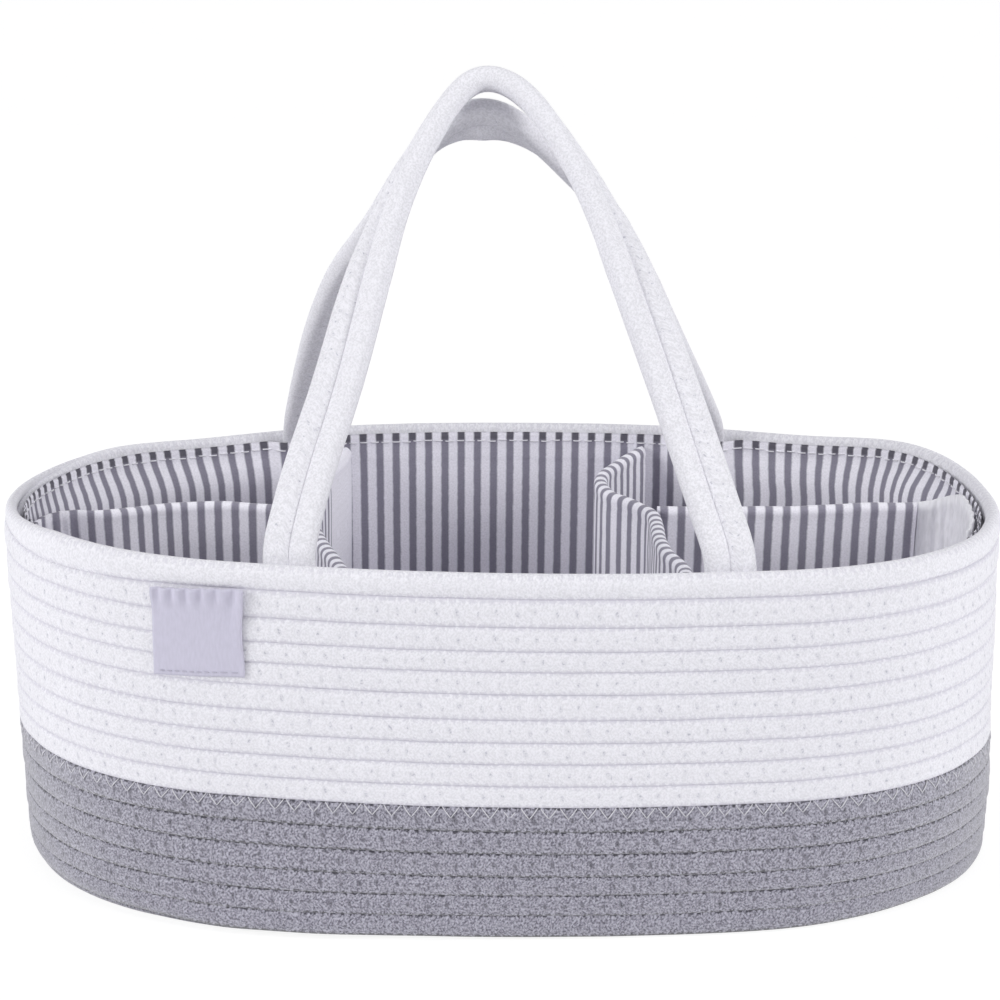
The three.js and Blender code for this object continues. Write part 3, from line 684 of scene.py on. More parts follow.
def pressed_felt(name, colour):
    """Stiff pressed felt: matted fibres with a soft mottle."""
    material, tree, shader = new_material(name)
    place = add_node(tree, "TexCoord", out="Object")
    # Matted fibres make a mottle about 0.8 mm across.
    mottle = add_node(tree, "TexNoise", {"Vector": place, "Scale": 1200.0, "Detail": 4.0})
    cloth_shader(tree, shader, toned(tree, colour, mottle, 0, 1, 0.85, 1.1), mottle, 0.3)
    return material


# Rope

def rope_stations(turns):
    """Middle line of the coiled rope after a number of turns, with the roll of its section."""
    turns = np.asarray(turns, float)
    start = rope_middle(FLOOR_ROPE_Z)
    pitch = start / (BASE_TURNS + 0.5)
    turn = np.floor(np.minimum(turns, -1e-9))
    power = 1 + CORE_LATENESS * (-1 - turn) / (BASE_TURNS - 1)
    share = np.clip(turns - turn, 0, 1) ** power
    creep = 1 - np.sqrt(np.maximum(0, 1 - share * share))
    base = turns <= 0
    half = np.where(base, start + pitch * (turn + creep), rope_middle(row_z(turns)))
    z = np.where(base, FLOOR_ROPE_Z, row_z(turns))
    roll = np.pi / 2 * smooth(0.02, 0.35, turns)
    return np.column_stack([oval(half, FIRST_STEP + turns * STEPS), z]), roll


def fine_turns(low, high):
    return np.linspace(low, high, int((high - low) * FINE_TURN) + 2)


def even_turns(low, high, spacing):
    """Turns of the coil at even lengths along the rope, and those lengths."""
    turns = fine_turns(low, high)
    run = lengths(rope_stations(turns)[0])
    marks = np.linspace(0, run[-1], max(2, int(round(run[-1] / spacing))) + 1)
    return np.interp(marks, run, turns), marks


def rope_rings(turns, marks, sizes):
    """Rings of the coiled rope: flat-faced turns that touch, and a rounder one at the rim."""
    middle, roll = rope_stations(turns)
    outward = outward_of(middle)
    c, s = np.cos(roll), np.sin(roll)
    base_pitch = rope_middle(FLOOR_ROPE_Z) / (BASE_TURNS + 0.5)
    height = np.where(turns > 1, ROW_PITCH, base_pitch + (ROW_PITCH - base_pitch) * np.clip(turns, 0, 1)) / 2
    low, high = sewn(middle[:, 2] - ROW_PITCH / 2), sewn(middle[:, 2] + ROW_PITCH / 2)
    # The lowest row stands on the floor until it climbs on to its own start.
    low = np.where(turns < 1, low[np.searchsorted(turns, 1)] * smooth(0.6, 0.98, turns), low)
    # Neighbouring turns press into one another.
    full = height * c ** 2 + (high - low) / 2 * s ** 2 + PRESSED_IN
    reach = np.sqrt((full * s) ** 2 + (ROPE_THICKNESS / 2 * c) ** 2)
    middle[:, 2] = np.where(turns > 0, low + reach - PRESSED_IN * smooth(0.6, 1, turns), middle[:, 2])
    # The rope thins out where it ends on the rim.
    gone = np.maximum(0, turns - (WALL_ROWS - RUN_OUT / STEPS)) * STEPS / RUN_OUT
    height = full + (0.2 - full) * gone
    thick = ROPE_THICKNESS / 2 + (0.5 - ROPE_THICKNESS / 2) * gone + 0.12 * drift(marks, 61, 3) * (1 - gone)
    middle[:, 2] -= full - height
    middle += (0.16 * drift(marks, 83, 5) * (1 - gone) * s)[:, None] * outward
    flat, soft = section(ROPE_RING, SQUARE_ROW, ROPE_BEHIND), section(ROPE_RING, ROUND_ROW, ROPE_BEHIND)
    rim = smooth(WALL_ROWS - 1.05, WALL_ROWS - 0.9, turns)[:, None]
    # The lowest row keeps its round foot.
    foot = smooth(1.04, 0.94, turns)[:, None] * (flat[0] < 0)
    xs, ys = (f + (r - f) * rim for f, r in zip(flat, soft))
    xs, ys = xs + (soft[0] - xs) * foot, ys + (soft[1] - ys) * foot
    stitch = sizes.stitch / MM
    near = np.abs(np.mod(marks + stitch / 2, stitch) - stitch / 2)
    pull = bump(near, 0, 1.21)[:, None] * bump(xs, 0, 0.16) * (sizes.pucker / MM)
    c, s, height, thick, t = (values[:, None] for values in (c, s, height, thick, turns))
    across = xs * height
    lift = ys * thick + pull * np.sign(-ys) * (1 - rim)
    points = middle[:, None, :] + (across * c + lift * s)[..., None] * outward[:, None, :]
    points[..., 2] += across * s - lift * c
    # The rim's top edge and the lowest row's foot have no neighbour, and so no painted seam shade, except where the
    # foot meets the floor.
    even = across * (ROW_PITCH / 2 / height)
    even = np.where(t > WALL_ROWS - 1.2, np.minimum(even, SHADE_EDGE), even)
    even = np.where(t > WALL_ROWS - 0.2, np.maximum(even, -SHADE_EDGE), even)
    even = np.where((t > -1) & (t <= 0), np.minimum(even, SHADE_EDGE), even)
    # Painted shade: the foot's lower edge is darkened as the floor's contact shadow under the lowest row.
    even = np.where((t > 0) & (t < 1) & (even < 0), 1.13 * even, even)
    even = np.where(t > 0, np.minimum(even, SHADE_EDGE + 1.5 * smooth(0.25, 0.4, t)), even)
    stitched = smooth(0.9, 1.1, t) * smooth(WALL_ROWS - 0.98, WALL_ROWS - 1.02, t)
    return points, even, stitched, ys * thick


class CADDY_OT_rope_coils(Operator):
    """Coil the grey and the white rope into the base and the wall"""
    bl_idname = "caddy.rope_coils"
    bl_label = "Rope Coils"

    def execute(self, context):
        sizes, colours = context.scene.caddy_rope, context.scene.caddy_colours
        stitch = sizes.stitch / MM
        grey = braided_rope("Braided cotton, heathered grey", colours.grey_rope, colours.grey_fibre, 0.19,
                            colours.grey_dimple, 1.0, 0.0, stitch, fleck=1.8, seam=colours.grey_seam_shade, seam_shade_edge=2.95,
                            sheen=0.75)
        white = braided_rope("Braided cotton, bleached white", colours.white_rope, darker(colours.white_rope, 0.86),
                             0.14, colours.dimple, 1.0, -0.3, stitch, seam=colours.white_seam_shade, seam_shade_edge=2.2)
        # Each rope's stretches: from and to which turn, and how far apart their rings lie
        for name, material, stretches in (
            ("grey_rope", grey, ((-BASE_TURNS + 1 / 12, 0.0, stitch / 2), (0.0, GREY_ROWS, stitch / 4))),
            ("white_rope", white, ((GREY_ROWS, WALL_ROWS - 0.004, stitch / 4),)),
        ):
            turns, marks = np.array([stretches[0][0]], float), np.zeros(1)
            for low, high, spacing in stretches:
                more, run = even_turns(low, high, spacing)
                turns, marks = np.append(turns, more[1:]), np.append(marks, run[1:] + marks[-1])
            points, across, stitched, deep = rope_rings(turns, marks, sizes)
            piece = add_closed(f"{name}_coil_braided", points, material, name, "basket", along=marks[:, None],
                               across=across, deep=deep, stitched=stitched)
            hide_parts(f"{name}_coil")
        return {"FINISHED"}


def zigzag(legs, length):
    """Places along a zigzag of so many legs of a length, how far each lies to one side, from -1 to 1, and how deep
    the thread dives there, from 0 to 1 at its tips."""
    shares = np.array([0, 0.2, 0.5, 0.8])
    marks = (np.arange(legs)[:, None] + shares).ravel() * length
    swing = np.tile(1 - 2 * shares, (legs, 1)) * np.where(np.arange(legs) % 2, -1, 1)[:, None]
    return marks, swing.ravel(), np.tile([1, 0.1, 0, 0.1], legs)


def zigzag_line(low, high, sizes, sink, top):
    """A zigzag thread that bridges the seam above each turn from low to high. Its upper half shows by a share."""
    turns = fine_turns(low, high)

    def seam(t):
        z = row_z(t + 0.5)
        return np.column_stack([oval(rope_middle(z), FIRST_STEP + t * STEPS), sewn(z)])

    run = lengths(seam(turns))
    half_stitch = sizes.stitch / MM / 2
    legs = int(run[-1] / half_stitch)
    marks, swing, tip = zigzag(legs, half_stitch)
    rng = np.random.default_rng(11)
    dy = swing * (sizes.zigzag / MM / 2) * np.repeat(rng.uniform(0.9, 1.05, legs), 4)
    if top == 0:
        # This line is sewn low, so that its points show on the row below.
        dy = dy * 0.68 - 1.9
    line = seam(np.interp(marks, run, turns))
    outward = outward_of(line)
    local = np.clip(np.abs(ROW_PITCH / 2 - np.abs(dy)) / (ROW_PITCH / 2), 0, 1)
    face = ROPE_THICKNESS / 2 * rounding(local, SQUARE_ROW)
    hidden = np.where(dy > 0.2, 0.9 * (1 - top), 0)
    # Some stitches of the low line are pulled half into the rope.
    hidden = hidden + (1 - top) * np.repeat(rng.uniform(0, 0.3, legs // 2 + 1), 8)[:len(dy)]
    lift = np.maximum(face, ROPE_THICKNESS / 2 - 0.9) + sink - 0.3 * tip - hidden
    line = line + outward * lift[:, None]
    line[:, 2] += dy
    return line, outward, sizes.thread / MM / 2


class CADDY_OT_seam_threads(Operator):
    """Sew the turns of rope together with zigzag thread"""
    bl_idname = "caddy.seam_threads"
    bl_label = "Seam Threads"

    def execute(self, context):
        sizes, colours = context.scene.caddy_rope, context.scene.caddy_colours
        grey = sewing_thread("Spun polyester thread, grey", darker(colours.grey_fibre, 0.7))
        white = sewing_thread("Spun polyester thread, white", darker(colours.white_rope, 0.8))
        # Each line: from and to which turn, how far it is sunk in, and by what share its upper half shows
        for name, spans, material in (
            ("grey", ((0.05, GREY_ROWS - 1, -0.6, 1.0),), grey),
            ("white", ((GREY_ROWS - 1, GREY_ROWS, 0.1, 0.0),
                       (GREY_ROWS, WALL_ROWS - 1 - RUN_OUT / STEPS, -0.6, 1.0)), white),
        ):
            points, faces = tube_mesh([zigzag_line(low, high, sizes, sink, top) for low, high, sink, top in spans])
            add_piece(f"{name}_seam_thread", points, faces, material, f"{name}_rope", "basket")
        return {"FINISHED"}


# Handles

def handle_point(handle, across, up, out):
    """Points of a handle's leaning plane."""
    across, up, out = np.broadcast_arrays(*(np.asarray(v, float) for v in (across, up, out)))
    c, s = math.cos(HANDLE_LEAN), math.sin(HANDLE_LEAN)
    y = handle["axis_y"] + handle["inward"] * (HANDLE_ROLL * c + up * s - out * c)
    z = handle["axis_z"] + HANDLE_ROLL * s + up * c + out * s
    return np.stack([across, y, z], -1)


def leg_x(handle, side):
    return handle["shift"] + side * handle["spread"]


def strap_middle(handle, place):
    """The strap's middle line from its left foot (-1) over the crown (0) to its right foot (1)."""
    across_share, up_share, crown = handle["shares"]
    spread, rise = handle["spread"], handle["rise"]
    t = 1 - np.abs(place)
    across = bezier(spread, spread * across_share, spread * crown, 0, t)
    up = bezier(0, rise * up_share, rise, rise, t)
    middle = handle["shift"] + (handle["sway"] - handle["shift"]) * up / rise
    middle += np.where(place < 0, through(handle["left_shift"], t), through(handle["right_shift"], t))
    up = up + handle["crown_lift"] * t * t
    return np.stack([middle + np.sign(place) * across, up, np.zeros_like(up)], -1)


def sewn_end(handle, side):
    """The pressed end of the strap in its pocket, from its foot up: middle, directions and pressing."""
    x, front = leg_x(handle, side), handle["inward"] > 0
    hem = float(rim_top(step_at_x(rope_middle(RIM_Z), x, front))) - HEM_DROP
    levels = np.linspace(POCKET_BOTTOM + 0.3, hem - 2, 24)
    halves = outside(levels) - ROPE_THICKNESS - 0.5 - PRESSED_HALF
    low = np.array([(*oval(half, step_at_x(half, x, front)), z) for half, z in zip(halves, levels)])
    wide, deep = (np.tile(direction, (len(low), 1)) for direction in ([side, 0.0, 0.0], [0.0, -handle["inward"], 0.0]))
    return low, wide, deep, np.zeros(len(low))


def strap_frames(handle, spacing):
    """Middle, width and thickness directions, and pressing of a handle's strap from one sewn end to the other."""
    places = np.linspace(-1, 1, 1601)
    middle = strap_middle(handle, places)
    along = unit(np.gradient(middle, axis=0))
    along[0], along[-1] = (0, 1, 0), (0, -1, 0)
    outward = np.column_stack([-along[:, 1], along[:, 0], np.zeros(len(along))])
    turn = np.radians(through(handle["twist"], 1 - np.abs(places)))[:, None]
    width = outward * np.cos(turn) + np.array([0, 0, -1.0]) * np.sin(turn)
    thick = np.cross(along, width)
    origin = handle_point(handle, 0, 0, 0)
    width, thick = (unit(handle_point(handle, *direction.T) - origin) for direction in (width, thick))
    low, wide, deep, flat = sewn_end(handle, 1)
    parts = (sewn_end(handle, -1), (handle_point(handle, *middle.T), width, thick, np.ones(len(places))),
             (low[::-1], wide, deep, flat))
    points, widths, thicks, presses = (np.concatenate([part[i] for part in parts]) for i in range(4))
    run = lengths(points)
    marks = np.linspace(0, run[-1], int(run[-1] / spacing) + 1)
    # The strap is eased over the bends where it leaves its pockets.
    reach = 6
    ease = bump(np.linspace(-2, 2, 2 * reach + 1), 0, 1)
    ease /= ease.sum()

    def even(values):
        grid = np.pad(read_off(marks, run, values), ((reach, reach), (0, 0)), "edge")
        return np.stack([np.convolve(column, ease, "valid") for column in grid.T], -1)

    return even(points), unit(even(widths)), unit(even(thicks)), even(presses[:, None])[:, 0], marks


def rope_half(press):
    """Half the thickness of a handle's rope, which is pressed flat at 0 and full at 1."""
    return PRESSED_HALF + (HANDLE_ROPE / 2 - PRESSED_HALF) * press


def groove_thread(frames, sizes, face):
    """Zigzag thread across the groove between a handle's two ropes, on one face."""
    middle, width, thick, press, marks = frames
    step = sizes.stitch / MM / 2
    along, swing, tip = zigzag(int((marks[-1] - 2) / step), step)
    along = along + 1
    across = swing * (sizes.zigzag / MM / 2)
    m, w, k = (read_off(along, marks, values) for values in (middle, width, thick))
    w, k = unit(w), unit(k)
    local = np.clip(np.abs(np.abs(across) - HANDLE_PITCH / 2) / GROOVE_HALF, 0, 1)
    lift = rope_half(np.interp(along, marks, press)) * rounding(local, HANDLE_SQUARE) - 0.15 - 0.3 * tip
    line = m + w * across[:, None] + k * (face * lift)[:, None]
    return line, k * face, sizes.thread / MM / 2


class CADDY_OT_handles(Operator):
    """Make each handle from two ropes sewn side by side, from one pocket in the lining to the other"""
    bl_idname = "caddy.handles"
    bl_label = "Handles"

    def execute(self, context):
        sizes, colours = context.scene.caddy_handles, context.scene.caddy_colours
        stitch = sizes.stitch / MM
        white = braided_rope("Braided cotton handle rope, white", colours.white_rope,
                             darker(colours.white_rope, 0.84), 0.13, colours.dimple, 0.8, -0.7, stitch)
        thread = sewing_thread("Spun polyester handle thread, white", colours.white_rope)
        xs, ys = section(HANDLE_RING, HANDLE_SQUARE)
        for name, handle in HANDLES.items():
            frames = strap_frames(handle, 2.2)
            middle, width, thick, press, marks = frames
            pieces = []
            for which, offset, node_end in (("outer", 1, "left"), ("inner", -1, "right")):
                centre = middle + width * (offset * HANDLE_PITCH / 2)
                half = rope_half(press) * (1 + 0.02 * drift(marks, 37, 21 + offset))
                # The two ropes press together along the groove.
                across = xs * np.where(xs * offset > 0, HANDLE_HALF, GROOVE_HALF) * np.ones((len(marks), 1))
                lift = ys * half[:, None]
                points = (centre[:, None, :] + across[..., None] * width[:, None, :]
                          + lift[..., None] * thick[:, None, :])
                # Both rows of stitches show on the outer rope: one along its middle and one beside the groove.
                rows = np.abs(across + 1.5) - 1.6 if offset > 0 else across
                along = marks[:, None] + np.where((across < -1.5) & (offset > 0), stitch / 3, 0)
                piece = add_closed(f"{name}_handle_{which}_rope_braided", points, white, "white_rope",
                                   along=along, across=rows, deep=lift, stitched=max(offset, 0))
                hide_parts(f"{name}_handle_{which}_rope", f"{name}_{node_end}_handle_end")
                pieces.append(piece)
            points, faces = tube_mesh([groove_thread(frames, sizes, face) for face in (1, -1)])
            pieces.append(add_piece(f"{name}_handle_thread", points, faces, thread, "white_rope"))
            for piece in pieces:
                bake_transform(piece)
        return {"FINISHED"}


# Linings

def lining_depth(plan, z):
    """How far the lining stands in over the sewn ends of the handles."""
    over = smooth(POCKET_BOTTOM - 13, POCKET_BOTTOM + 1, z)
    share = np.zeros(np.broadcast(plan[..., 0], z).shape)
    for handle in HANDLES.values():
        for side in SIDES:
            apart = np.where(plan[..., 1] * handle["inward"] < 0, np.abs(plan[..., 0] - leg_x(handle, side)), 1e3)
            share = np.maximum(share, smooth(POCKET_HALF + 6.5, POCKET_HALF - 0.5, apart))
    return POCKET_DEPTH * over * share


class CADDY_OT_wall_lining(Operator):
    """Hang the striped lining inside the wall, with its hem under the rim"""
    bl_idname = "caddy.wall_lining"
    bl_label = "Wall Lining"

    def execute(self, context):
        sizes, colours = context.scene.caddy_lining, context.scene.caddy_colours
        cotton = striped_cotton("Woven cotton, printed stripes", sizes, colours)
        fine = np.linspace(0, STEPS, FINE_STEPS)
        run = lengths(oval(lining_inside(RIM_Z), fine))
        marks = np.linspace(0, run[-1], LINING_COLUMNS, endpoint=False)
        steps = np.interp(marks, run, fine)[None, :]
        from_right = np.mod(steps + STEPS / 2, STEPS) - STEPS / 2
        plan = oval(lining_inside(RIM_Z), steps)
        top = rim_top(steps) - HEM_DROP
        hem = sizes.hem / MM
        down = np.concatenate([[0, 0.35, 1], np.linspace(2, hem - 1.2, 5), [hem - 0.5, hem, hem + 0.6, hem + 1.4],
                               np.linspace(hem + 4, LINING_DROP, 34)])[:, None]
        z = np.maximum(top - down * (top - LINING_FOOT) / LINING_DROP, LINING_FOOT)
        fold = 0.25 * smooth(hem + 1.2, hem - 1, down) - 0.5 * smooth(0.8, 0, down)
        field = (np.sin(steps * 1.9 + z / 31 + drift(z, 55, 31)) * 0.5 + np.sin(steps * 4.3 - z / 17 + 1.3) * 0.3
                 + np.sin(steps * 8.1 + z / 23 + 0.4) * 0.2)
        slack = smooth(0, 26, down) * 0.8 + 0.2
        creases = bump(from_right, 0, 5.0) * np.sin(steps * 9 + z / 5.2 + 0.8 * np.sin(z / 19)) * 0.5
        wrinkle = (field * 0.5 + 0.5 + creases) * slack * sizes.wrinkle / MM
        # The lining hangs slack inside both ends of the wall, clear of the hook tabs, and is tucked by the right one.
        hanging = 5.5 * bump(steps, 14.6, 3.2) + 5 * bump(steps, 21.3, 2.6)
        wrinkle = wrinkle + hanging * smooth(2, 17, down) * smooth(125, 70, down)
        tuck = bump(steps, 22.35, 0.04) + 0.8 * bump(steps, 22.9, 0.0256)
        wrinkle = wrinkle + 1.8 * tuck * smooth(3, 14, down) * smooth(70, 40, down)
        wrinkle = wrinkle + 0.16 * np.cos(marks * 2 * np.pi / 4.6) * smooth(6, 2, down)
        inset = lining_depth(plan, z) + fold + wrinkle - 0.25
        # The hem's back leaf goes over the top edge and down behind.
        behind = np.array([10, 6, 2.5, 0.5])[:, None]
        leaves = [(top - behind, 0.55, 0), (top, 0.1, 0.25)]
        sheets = [np.dstack([oval(lining_inside(at) - lining_depth(plan, at) + out, steps), at + rise])
                  for at, out, rise in leaves]
        points = np.concatenate([*sheets, np.dstack([oval(lining_inside(z) - inset, steps), z])])
        # The stripes run a little askew where the cloth was pulled.
        depth = np.concatenate([-behind, [[0]], down + 0.3])
        shift = (bump(from_right, 0.4, 2.2) * (3.2 * np.sin(depth / 7 + 0.5) + 4) * smooth(0, 20, depth)
                 - 4.2 * bump(steps, 21, 1.6) * smooth(0, 24, depth)
                 + 2.4 * bump(steps, 22.4, 0.1225) * np.sin(depth / 7.5) * smooth(0, 6, depth)
                 + 3.0 * bump(steps, 12, 4.0) * np.sin(depth / 38) * smooth(0, 60, depth))
        along = marks + shift
        pitch = sizes.stripe_pitch / MM
        scale = round(run[-1] / pitch) * pitch / run[-1]
        # One more column closes the ring, so that the stripes don't run back over it.
        points = np.concatenate([points, points[:, :1]], 1)
        along = np.concatenate([along, along[:, :1] + run[-1]], 1) * scale
        piece = add_piece("wall_lining_cloth", points, grid_faces(*along.shape, close_count=False), cotton,
                          "striped_lining", "basket", along=along, across=depth)
        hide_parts("wall_lining")
        stitches = self.stitch_hem(sizes, colours, run, fine)
        return {"FINISHED"}

    def stitch_hem(self, sizes, colours, run, fine):
        """Short white stitches along the hem, each a little sunk at its ends."""
        thread = sewing_thread("Spun polyester hem thread, white", colours.white_rope)
        length = sizes.stitch / MM
        rng = np.random.default_rng(17)
        lines = []
        for start in np.arange(0, run[-1] - length, length * 1.45):
            at = np.interp(start + np.array([0, 0.18, 0.5, 0.82, 1]) * length, run, fine)
            z = rim_top(at) - HEM_DROP - 3.2 + rng.uniform(-0.3, 0.3)
            half = lining_inside(z) - lining_depth(oval(lining_inside(RIM_Z), at), z) - 0.45
            line = np.column_stack([oval(half + np.array([0.4, -0.05, -0.1, -0.05, 0.4]), at), z])
            lines.append((line, -outward_of(line), 0.32))
        points, faces = tube_mesh(lines)
        return add_piece("hem_stitches", points, faces, thread, "white_rope", "basket")


class CADDY_OT_floor_lining(Operator):
    """Lay the striped floor of the lining"""
    bl_idname = "caddy.floor_lining"
    bl_label = "Floor Lining"

    def execute(self, context):
        cotton = striped_cotton("Woven cotton floor, printed stripes", context.scene.caddy_lining,
                                context.scene.caddy_colours)
        edge = lining_inside(6.5) - 0.5
        # Rows run across the floor from the front edge to the back one.
        outline = oval(edge, np.linspace(0.01, STEPS / 2 - 0.01, 241))
        shares = np.linspace(-1, 1, 61)[:, None]
        x, y = np.broadcast_arrays(outline[:, 0], outline[:, 1] * shares)
        z = FLOOR_Z + 0.22 * np.sin(x / 19 + np.sin(y / 27)) + 0.2 * np.sin(y / 14 + x / 40)
        piece = add_piece("floor_lining_cloth", np.dstack([x, y, z]), grid_faces(*x.shape, close_count=False), cotton,
                          "striped_lining", "basket", along=x, across=y + FLOOR_DOWN)
        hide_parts("floor_lining")
        return {"FINISHED"}


# Dividers

def cross_x(side, place):
    front, back = (leg_x(handle, side) for handle in HANDLES.values())
    return through(CROSS_SHARES[side], place) * (back + (front - back) * np.asarray(place, float))


def cross_ends(side, z):
    """The y of a cross panel's two ends at a height."""
    half = lining_inside(z)
    back = oval(half, step_at_x(half, float(cross_x(side, 0)), False))[1] - WALL_CLEARANCE
    front = oval(half, step_at_x(half, float(cross_x(side, 1)), True))[1] + WALL_CLEARANCE
    return float(back), float(front)


def cross_middle(side, place, z):
    back, front = cross_ends(side, z)
    return np.stack([cross_x(side, place), back + (front - back) * place], -1)


def long_middle(side, place, z):
    table = LONG_SHARES[side]
    back, front = cross_ends(side, z)
    start_x = float(cross_x(side, (table[0][1] * HALF_WIDTH - back) / (front - back)))
    start_x += side * (DIVIDER_THICKNESS / 2 + SEAM_GAP)
    half = lining_inside(z) - TAB_REACH
    end_x = float(oval(half, step_at_y(half, tab_y(side), side))[0])
    return np.stack([start_x + (end_x - start_x) * place, through(table, place) * HALF_WIDTH], -1)


def tab_y(side):
    """The y of a long panel's far end, where its tab begins."""
    return LONG_SHARES[side][-1][1] * HALF_WIDTH


# Each panel's middle line from its near end to its far one
PANELS = {"cross": cross_middle, "long": long_middle}


def padded_panel(middle_at, top_radius, slack, seed, taper, room):
    """Rings of a padded panel with a rounded top and soft faces, with its surface coordinates. The padding can thin
    out over a taper at the far end, and room is left in front of the near end."""
    fine = np.linspace(0, 1, 801)
    run = lengths(middle_at(fine, DIVIDER_TOP))
    length = run[-1]
    ends = np.array([0, 0.25, 0.8, PAD_END])
    inner = np.linspace(4, length - 4, max(4, int((length - 8) / PAD_SPACING)))
    marks = np.concatenate([ends, inner, length - ends[::-1]])
    places = np.interp(room + marks * (length - room) / length, run, fine)
    far = length - marks
    close = np.minimum(marks, far)
    end_share = np.sqrt(np.clip(1 - (1 - np.clip(close / 2.4, 0, 1)) ** 2, 0.06, 1))
    if taper:
        end_share = np.where(far < taper, 0.3 + 0.7 * smooth(0, taper, far), end_share)
    height = DIVIDER_TOP - DIVIDER_FOOT
    half = DIVIDER_THICKNESS / 2
    turn = np.linspace(0, np.pi / 2, 6)
    up = np.concatenate([[0.0, 0.6, 2.0, 5.0], np.linspace(10, height - 8, 20), [height - 5, height - 3.4],
                         height - top_radius + np.sin(turn) * top_radius])
    across = half * np.concatenate([[0.55, 0.82, 0.97], np.ones(23), np.cos(turn) ** 0.8])
    across[-1] = 0.18
    sides = {1: [], -1: []}
    for u, thick in zip(up, across):
        middle = middle_at(places, DIVIDER_FOOT + u)
        body = smooth(0, 12, u) * smooth(height, height - 12, u) * smooth(0, 10, close)
        crown = -0.18 * smooth(height - 9, height - 6, u) * smooth(height - 2.5, height - 5, u)
        for face, levels in sides.items():
            soft = 0.5 * drift(marks + u * 0.7, 47, seed + face) + 0.5 * drift(u + marks * 0.2, 61, seed + 7)
            reach = face * (thick * end_share + np.minimum(slack * body * soft, 0) + crown)
            levels.append(np.column_stack([middle + plan_normals(middle) * reach[:, None],
                                           np.full(len(places), DIVIDER_FOOT + u)]))
    rings = np.concatenate([np.stack(sides[1], 1), np.stack(sides[-1], 1)[:, ::-1]], 1)
    # The top sags a little between the ends of the boards.
    rings[..., 2] += 0.35 * drift(marks, 70, seed + 3)[:, None] * smooth(60, 120, rings[..., 2])
    return rings, marks, lengths(rings[len(rings) // 2])


class CADDY_OT_dividers(Operator):
    """Sew the padded cross and long panels of both dividers"""
    bl_idname = "caddy.dividers"
    bl_label = "Divider Panels"

    def execute(self, context):
        sizes, lining = context.scene.caddy_dividers, context.scene.caddy_lining
        cotton = striped_cotton("Woven cotton covers, printed stripes", lining, context.scene.caddy_colours)
        for side, name in SIDES.items():
            for kind, middle in PANELS.items():
                taper = 15 if (side, kind) == (-1, "long") else 0
                # The left cross panel clears the sewn end of the back handle as it is lifted.
                room = 1.8 if (side, kind) == (-1, "cross") else 0
                rings, marks, around = padded_panel(lambda p, z: middle(side, p, z), sizes.top_radius / MM,
                                                    sizes.slack / MM, 40 + side, taper, room)
                marks = marks + STRIPE_STARTS[side, kind]
                if taper:
                    # The cloth is drawn together towards the tab.
                    marks = marks + 0.13 * np.maximum(0, marks - marks[-1] + 42)
                if room:
                    # This panel's back end is bound in plain cloth.
                    pitch = lining.stripe_pitch / MM
                    marks = np.where(marks < 6 * pitch, 5.5 * pitch + 1.1 * np.sin(marks), marks)
                node = f"{name}_{kind}_divider_cover"
                piece = add_closed(f"{node}_padded", rings, cotton, "striped_lining", f"{name}_insert",
                                   along=marks[:, None], across=around + PAD_DOWN)
                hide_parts(node)
        return {"FINISHED"}


class CADDY_OT_divider_boards(Operator):
    """Cut the felt boards inside the divider panels"""
    bl_idname = "caddy.divider_boards"
    bl_label = "Divider Boards"

    def execute(self, context):
        felt = pressed_felt("Pressed felt board", context.scene.caddy_colours.board)
        low, high = DIVIDER_FOOT + SEAT, DIVIDER_TOP - BOARD_INSET
        for side, name in SIDES.items():
            for kind, middle in PANELS.items():
                fine = np.linspace(0, 1, 401)
                run = lengths(middle(side, fine, DIVIDER_TOP))
                places = np.interp(np.linspace(BOARD_INSET, run[-1] - BOARD_INSET, 48), run, fine)
                rings = []
                for z, face in ((low, 1), (high, 1), (high, -1), (low, -1)):
                    line = middle(side, places, z)
                    line = line + plan_normals(line) * face * BOARD_THICKNESS / 2
                    rings.append(np.column_stack([line, np.full(len(line), z)]))
                node = f"{name}_{kind}_divider_board"
                board = add_closed(f"{node}_felt", np.stack(rings, 1), felt, "divider_board", f"{name}_insert")
                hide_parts(node)
        return {"FINISHED"}


def add_strip(node, body, points_at, columns, levels, thickness, material, slot, start=0):
    """A thin cloth strip with both faces in place of a solid, and its length. A function of place and level gives
    its middle in plan, the directions square to it and its height."""
    places = np.linspace(0, 1, columns)
    faces = {1: [], -1: []}
    for level in np.linspace(0, 1, levels):
        middle, normal, z = points_at(places, level)
        for face, lines in faces.items():
            lines.append(np.column_stack([middle + face * normal * thickness / 2, z]))
    rings = np.concatenate([np.stack(faces[1], 1), np.stack(faces[-1], 1)[:, ::-1]], 1)
    along = lengths(rings[:, 0]) + start
    piece = add_closed(f"{node}_cloth", rings, material, slot, body, along=along[:, None], across=rings[..., 2])
    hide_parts(node)
    return piece, along[-1] - start


